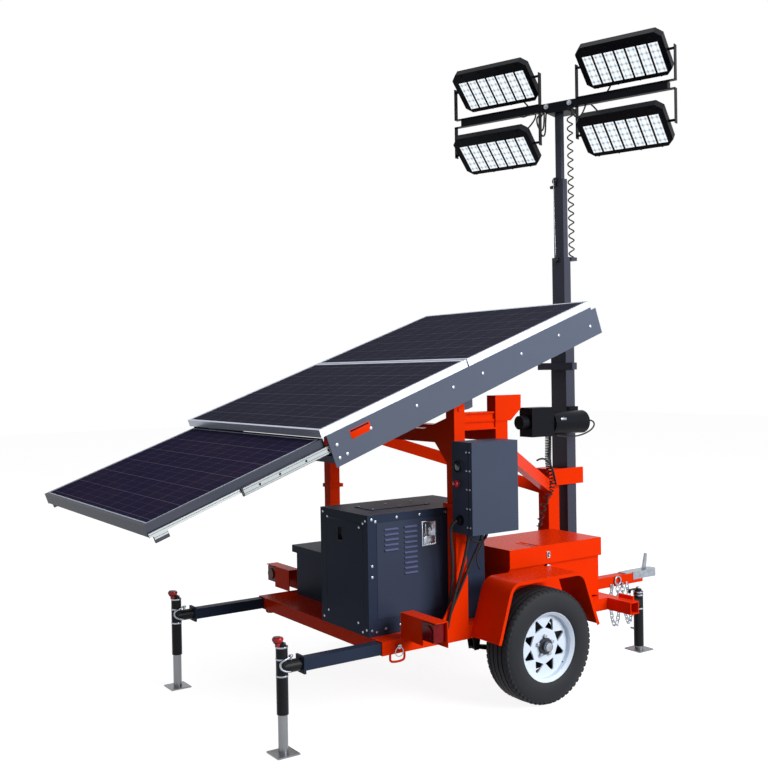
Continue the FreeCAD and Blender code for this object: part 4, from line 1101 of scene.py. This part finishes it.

# %% [markdown]
# Cables. Each lamp has a short lead from its back to the bar, which is kept on neither body
# because the lamp tilts. Loops hang from the bar, and the winch, the brace and the control box
# have leads that ride one body. A simulated cord would have to be run again for each pose. All
# are one smooth line through a few points instead, laid along what the photograph shows.

# %% Lamp leads
for side, up, body in LAMPS:
    end = lamp_place(side, up) @ Vector((0.036, -side * 0.10, -0.10 if up > 0 else 0.08))
    start = HEAD @ Vector((0.026, side * 0.215, up * 0.010))
    sag = (start + end) / 2 + Vector((0.05, 0, -0.055))
    out = HEAD.to_3x3() @ Vector((0.07, 0, 0))
    path = spline_points([start, start + out, sag, end + (end - sag).normalized() * -0.02, end])
    stretching_cord("lead_" + body, path, 0.0058, cable)

# %% Loops at the mast head
HEAD_LOOPS = (
    # across the bar, along it and up from its middle
    ((-10, 105, -22), (-38, 128, -60), (-52, 132, -122), (-50, 126, -186), (-30, 112, -210),
     (-12, 104, -180), (-12, 102, -90), (-6, 98, -22)),
    ((-16, 120, -22), (-50, 150, -60), (-60, 148, -106), (-50, 134, -154), (-28, 120, -168),
     (-14, 112, -120), (-12, 112, -22)),
    ((-10, -78, -22), (-36, -112, -58), (-48, -140, -106), (-40, -172, -118), (-26, -200, -80),
     (-12, -214, -22)),
    ((-20, 215, -22), (-34, 236, -36), (-38, 262, -44), (-34, 288, -38), (-20, 310, -22)),
)
for number, points in enumerate(HEAD_LOOPS, 1):
    path = spline_points([head_at(*p) for p in points])
    riding_cord(f"head_loop_{number}", path, 0.006, "lamp_bar")

# %% Leads of the winch, the brace and the control box
LEADS = (
    # name, radius and places along it
    ("winch_lead", 0.0055, (
        (1058, -228, 1590), (1120, -236, 1588), (1156, -232, 1552), (1112, -226, 1508),
        (985, -232, 1478), (850, -226, 1482), (790, -214, 1494))),
    ("gland_lead", 0.0095, (
        (-534, -799, 1105), (-562, -780, 1092), (-548, -752, 1015), (-532, -752, 873),
        (-520, -722, 700), (-518, -690, 600), (-520, -650, 513), (-522, -622, 450))),
    ("second_gland_lead", 0.0085, (
        (-430, -770, 1029), (-432, -770, 985), (-470, -764, 840), (-520, -756, 690),
        (-556, -748, 573), (-572, -742, 492))),
    ("third_gland_lead", 0.0075, (
        (-322, -760, 1029), (-326, -758, 983), (-350, -752, 933), (-398, -748, 851),
        (-470, -748, 720), (-544, -744, 590), (-580, -741, 500))),
    ("box_loop_lead", 0.0055, (
        (-440, -780, 1029), (-420, -782, 975), (-356, -784, 962), (-300, -780, 985),
        (-292, -776, 1029))),
    ("box_tail_lead", 0.0045, (
        (-300, -770, 1029), (-318, -772, 960), (-372, -774, 900), (-380, -772, 850),
        (-352, -766, 806))),
    ("brace_lead", 0.0065, (
        (640, -190, 1330), (700, -172, 1344), (770, -160, 1316), (822, -154, 1250),
        (842, -152, 1180), (852, -150, 1145))),
)
for name, radius, points in LEADS:
    riding_cord(name, smooth_line(points), radius, "trailer")

# %% [markdown]
# The lower curly cord hangs from the winch and goes down in front of the mast's post. Its coils
# are tight where it hangs straight and drawn out below, so the helix turns faster along the
# upper part of its centre line. Its centre is one smooth line, and the helix has fourteen
# points per turn.

# %% Helix about a line
def coil_about(line, turns, radius, per_turn=14):
    """Points of a helix about a smooth line; turns says how many lie in each stretch of it."""
    lengths = [0.0]
    for a, b in zip(line, line[1:]):
        lengths.append(lengths[-1] + (b - a).length)
    count = int(sum(turns) * per_turn)
    shares = [sum(turns[:i]) / sum(turns) for i in range(len(turns) + 1)]
    points = []
    for i in range(count + 1):
        phase = i / count
        k = max(j for j in range(len(turns)) if phase >= shares[j] - 1e-9)
        inside = (phase - shares[k]) / (shares[k + 1] - shares[k])
        s = (k + inside) / len(turns) * lengths[-1]
        j = min(max(n for n in range(len(lengths)) if lengths[n] <= s + 1e-9), len(line) - 2)
        f = (s - lengths[j]) / max(lengths[j + 1] - lengths[j], 1e-9)
        p = line[j].lerp(line[j + 1], min(f, 1.0))
        ahead = (line[j + 1] - line[j]).normalized()
        u = Vector((0, 1, 0)).cross(ahead).normalized()
        w = ahead.cross(u)
        a = math.tau * sum(turns) * phase
        points.append(p + (u * math.cos(a) + w * math.sin(a)) * radius)
    return points


# %% The lower curly cord and its tail
LOWER_WIRE_R = 0.0044
centre = smooth_line((
    (813, -120, 1488), (815, -116, 1400), (812, -114, 1310), (824, -116, 1240),
    (850, -124, 1160), (822, -136, 1115), (811, -112, 1070), (811, -88, 1035), (811, -58, 976),
    (811, -36, 904), (811, -14, 850)))
coil = spline_points(coil_about(centre, (20, 9, 4), 0.019))
riding_cord("lower_curly_cord", coil, LOWER_WIRE_R, "trailer", 6)
tail = smooth_line(((811, -14, 870), (811, -12, 820), (812, -8, 760), (824, -6, 715),
                    (847, -6, 700)))
riding_cord("lower_cord_tail", tail, LOWER_WIRE_R, "trailer")

# %% [markdown]
# Hitch hardware. A bright pin with a ring goes through each rail's end, and an orange loop is
# welded below. Two safety chains hang from the tongue behind the coupler. A chain link is a ring
# stretched along its length, copied along the curve that a hanging chain makes, with each link
# turned a quarter from the last.

# %% Pins, rings and the tie-down loops
def ring(place, turn, major, minor, around, across):
    """A smooth ring at a place in the frame, turned about X."""
    deselect()
    bpy.ops.mesh.primitive_torus_add(
        location=place, rotation=(turn, 0, 0), major_radius=major, minor_radius=minor,
        major_segments=around, minor_segments=across)
    o = settled()
    bpy.ops.object.shade_smooth()
    return o


LOOP_XZ = ((-952, 408), (-954, 384), (-950, 366), (-920, 360), (-880, 360), (-860, 366),
           (-856, 384), (-858, 408))
QUARTER = math.pi / 2
for side, name in SIDES:
    loop = smooth_line([(x, side * 722, z) for x, z in LOOP_XZ])
    fit("tie_loop_" + name, "trailer", orange, tube(loop, 0.0065, 10))
    fit("hitch_pin_" + name, "trailer", zinc,
        bar((-904, side * 724, 446), (-904, side * 742, 446), 0.0085, 0.002, 18),
        bar((-904, side * 740, 446), (-904, side * 746, 446), 0.0135, 0.002, 18))
    fit("pin_ring_" + name, "trailer", zinc,
        ring(at(-910, side * 749, 420), QUARTER, 0.026, 0.0026, 28, 8))

# %% Safety chains
LINK_PITCH, LINK_STRETCH, LINK_R, LINK_WIRE_R = 0.030, 0.0080, 0.0135, 0.0042


def chain(name, points):
    one = ring((0, 0, 0), 0, LINK_R, LINK_WIRE_R, 14, 6)
    for v in one.data.vertices:
        if abs(v.co.x) > 0.001:
            v.co.x += math.copysign(LINK_STRETCH, v.co.x)
    line = smooth_line(points)
    spread, walked, nearest = [], 0.0, 0.0
    for a, b in zip(line, line[1:]):
        step = (b - a).length
        turn = (b - a).to_track_quat("X", "Z").to_matrix().to_4x4()
        while nearest <= walked + step:
            p = a.lerp(b, (nearest - walked) / step)
            twist = Matrix.Rotation(QUARTER * (len(spread) % 2), 4, "X")
            spread.append(Matrix.Translation(p) @ turn @ twist)
            nearest += LINK_PITCH
        walked += step
    dress(copies(name, one, spread), "trailer", zinc)
    print(name, len(spread), "links")


chain("safety_chain_near", ((1500, -44, 330), (1478, -48, 210), (1494, -50, 90), (1528, -50, 30),
                            (1560, -50, 90), (1572, -48, 200), (1560, -44, 330)))
chain("safety_chain_far", ((1612, -44, 330), (1618, -48, 210), (1640, -52, 90), (1672, -52, 34),
                           (1698, -50, 90), (1690, -48, 200), (1660, -44, 330)))
fit("chain_ears", "trailer", zinc, *[
    slab((x - 11, -46, 322), (x + 11, -37.9, 352), 0.003) for x in (1500, 1560, 1612, 1660)])
fit("clevis_ring", "trailer", zinc, ring(at(1560, -50, 372), QUARTER, 0.030, 0.006, 30, 8))

# %% [markdown]
# Array trim: the bare orange plate on the near side with its dark band, the holes of the drawer
# slides, and a silver strip round the drawer's glass. All are thin, so they are built flat in the
# array's own axes, where the slope needs no thought, and then turned with it. The slides' holes
# are dark discs a fraction of a millimetre proud, painted shade for the inside of each hole.

# %% Marker plate, slide holes and drawer trim
def on_array(low, high, edge):
    """A block given in the array's own axes, in metres."""
    o = block(low, high, edge)
    o.data.transform(ARRAY)
    return o


fit("marker", "array", orange,
    on_array((0.163, -0.8361, -0.118), (0.293, -0.8350, -0.069), 0.0004))
fit("marker_band", "array", black,
    on_array((0.168, -0.8366, -0.081), (0.288, -0.8359, -0.072), 0.0002))
for side, name in SIDES:
    # black discs as painted shade inside the slides' holes
    fit("slide_hole_shade_" + name, "drawer_slides", black, *[
        rod(ARRAY @ Vector((u, side * 0.8190, SLIDE_W)),
            ARRAY @ Vector((u, side * 0.82035, SLIDE_W)), 0.0065, 0.00002, 14)
        for u in (-0.40, -0.28, -0.12, 0.02)])
TRIM_W = (-0.0552, -0.0538)
fit("drawer_trim", "drawer", trim_silver, *[
    on_array((u0, y0, TRIM_W[0]), (u1, y1, TRIM_W[1]), 0.0004) for u0, u1, y0, y1 in (
        (-0.986, -0.978, -0.782, 0.782), (-0.008, 0.0, -0.782, 0.782),
        (-0.978, -0.008, -0.782, -0.774), (-0.978, -0.008, 0.774, 0.782))])

# %% [markdown]
# The winch's motor is a drum with raised rings near its ends and four tie bolts, and a bare
# plate on its side. A ring could be a torus, but these are square in section, so each is a short
# rod barely wider than the drum.

# %% Winch plate, rings and tie bolts
MOTOR_Y, MOTOR_Z, TIE_CIRCLE = -200, 1578, 58
fit("winch_label_plate", "trailer", zinc, slab((784, -279, 1600), (834, -277.6, 1615), 0.0004))
ribs = [turned((MOTOR_Y, MOTOR_Z), x, x + 7, 0.0792, 0.002, 40) for x in (742, 760, 1030, 1052)]
ties = []
for a in (math.radians(v) for v in (45, 135, 225, 315)):
    place = (MOTOR_Y + TIE_CIRCLE * math.cos(a), MOTOR_Z + TIE_CIRCLE * math.sin(a))
    ties.append(turned(place, 1056, 1066, 0.0085, 0.002, 12))
fit("winch_ribs", "trailer", black, *ribs, *ties)

# %% [markdown]
# Studio. The photograph is lit softly from its right and from above, so the sides towards -Y are
# bright and the rear faces fall dark. The background is pure white to the camera and in
# reflections, but gives the object only a plain level of light. One white world would light all
# sides alike and leave no shape, so the light paths tell the two apart, and three soft lamps give
# the direction. The floor is pale and keeps a faint shadow.

# %% Camera
CAMERA = (-3.8584, -5.237, 1.9508)
FOCAL_PIXELS, PICTURE_PIXELS, SENSOR = 1006.853, 768, 36
yaw, pitch, roll = (math.radians(v) for v in (55.755, -0.7317, -0.9324))
ahead = Vector((math.cos(pitch) * math.cos(yaw), math.cos(pitch) * math.sin(yaw), math.sin(pitch)))
level = Vector((math.sin(yaw), -math.cos(yaw), 0))
upward = level.cross(ahead)
right = level * math.cos(roll) + upward * math.sin(roll)
upright_axis = upward * math.cos(roll) - level * math.sin(roll)
camera_data = bpy.data.cameras.new("camera")
camera_data.sensor_width = SENSOR
camera_data.lens = FOCAL_PIXELS / PICTURE_PIXELS * SENSOR
camera = bpy.data.objects.new("camera", camera_data)
bpy.context.scene.collection.objects.link(camera)
camera.matrix_world = Matrix(
    [(right[k], upright_axis[k], -ahead[k], CAMERA[k]) for k in range(3)] + [(0, 0, 0, 1)])
bpy.context.scene.camera = camera
bpy.context.scene.view_settings.view_transform = "Standard"

# %% World
def shaded(tree, kind, colour, strength=None):
    """A shader node of one colour."""
    node = tree.nodes.new("ShaderNode" + kind)
    node.inputs[0].default_value = (*colour, 1)
    if strength is not None:
        node.inputs[1].default_value = strength
    return node.outputs[0]


def by_ray(tree, plain, shown, output):
    """Shows one shader to camera, glossy and transmission rays, and the plain one to the rest."""
    rays = tree.nodes.new("ShaderNodeLightPath").outputs
    seen = either(tree, *[rays[f"Is {kind} Ray"] for kind in ("Camera", "Glossy", "Transmission")])
    mix = tree.nodes.new("ShaderNodeMixShader")
    for socket, value in zip(mix.inputs, (seen, plain, shown)):
        link(tree, value, socket)
    link(tree, mix.outputs[0], tree.nodes[output].inputs[0])


world = bpy.data.worlds.new("studio")
bpy.context.scene.world = world
world.use_nodes = True
tree = world.node_tree
tree.nodes.remove(tree.nodes["Background"])
by_ray(tree, shaded(tree, "Background", (0.92, 0.95, 1.0), 0.24),
       shaded(tree, "Background", (1, 1, 1), 1.0), "World Output")

# %% Floor
deselect()
bpy.ops.mesh.primitive_plane_add(size=60, location=(0, 0, -0.0015))
floor = bpy.context.object
floor.name = "floor"
floor_material, tree, _ = new_material("pale_floor")
tree.nodes.remove(tree.nodes["Principled BSDF"])
glowing = tree.nodes.new("ShaderNodeAddShader")
link(tree, shaded(tree, "BsdfDiffuse", (0.34, 0.34, 0.34)), glowing.inputs[0])
link(tree, shaded(tree, "Emission", (1, 1, 1), 0.90), glowing.inputs[1])
by_ray(tree, shaded(tree, "BsdfDiffuse", (0.30, 0.30, 0.30)), glowing.outputs[0],
       "Material Output")
floor.data.materials.append(floor_material)

# %% Lights
def softbox(name, place, target, size, power):
    data = bpy.data.lights.new(name, "AREA")
    data.shape = "SQUARE"
    data.size = size
    data.energy = power
    o = bpy.data.objects.new(name, data)
    o.location = place
    o.rotation_euler = (Vector(target) - Vector(place)).to_track_quat("-Z", "Y").to_euler()
    bpy.context.scene.collection.objects.link(o)


softbox("key", (3.5, -9.0, 5.0), (0.2, 0, 1.2), 6.0, 1020)
softbox("top", (0.5, -1.0, 9.0), (0.2, 0, 1.0), 7.0, 240)
softbox("left", (-8.0, -2.5, 4.0), (0.0, 0, 1.4), 5.0, 12)
print("lights", len(bpy.data.lights))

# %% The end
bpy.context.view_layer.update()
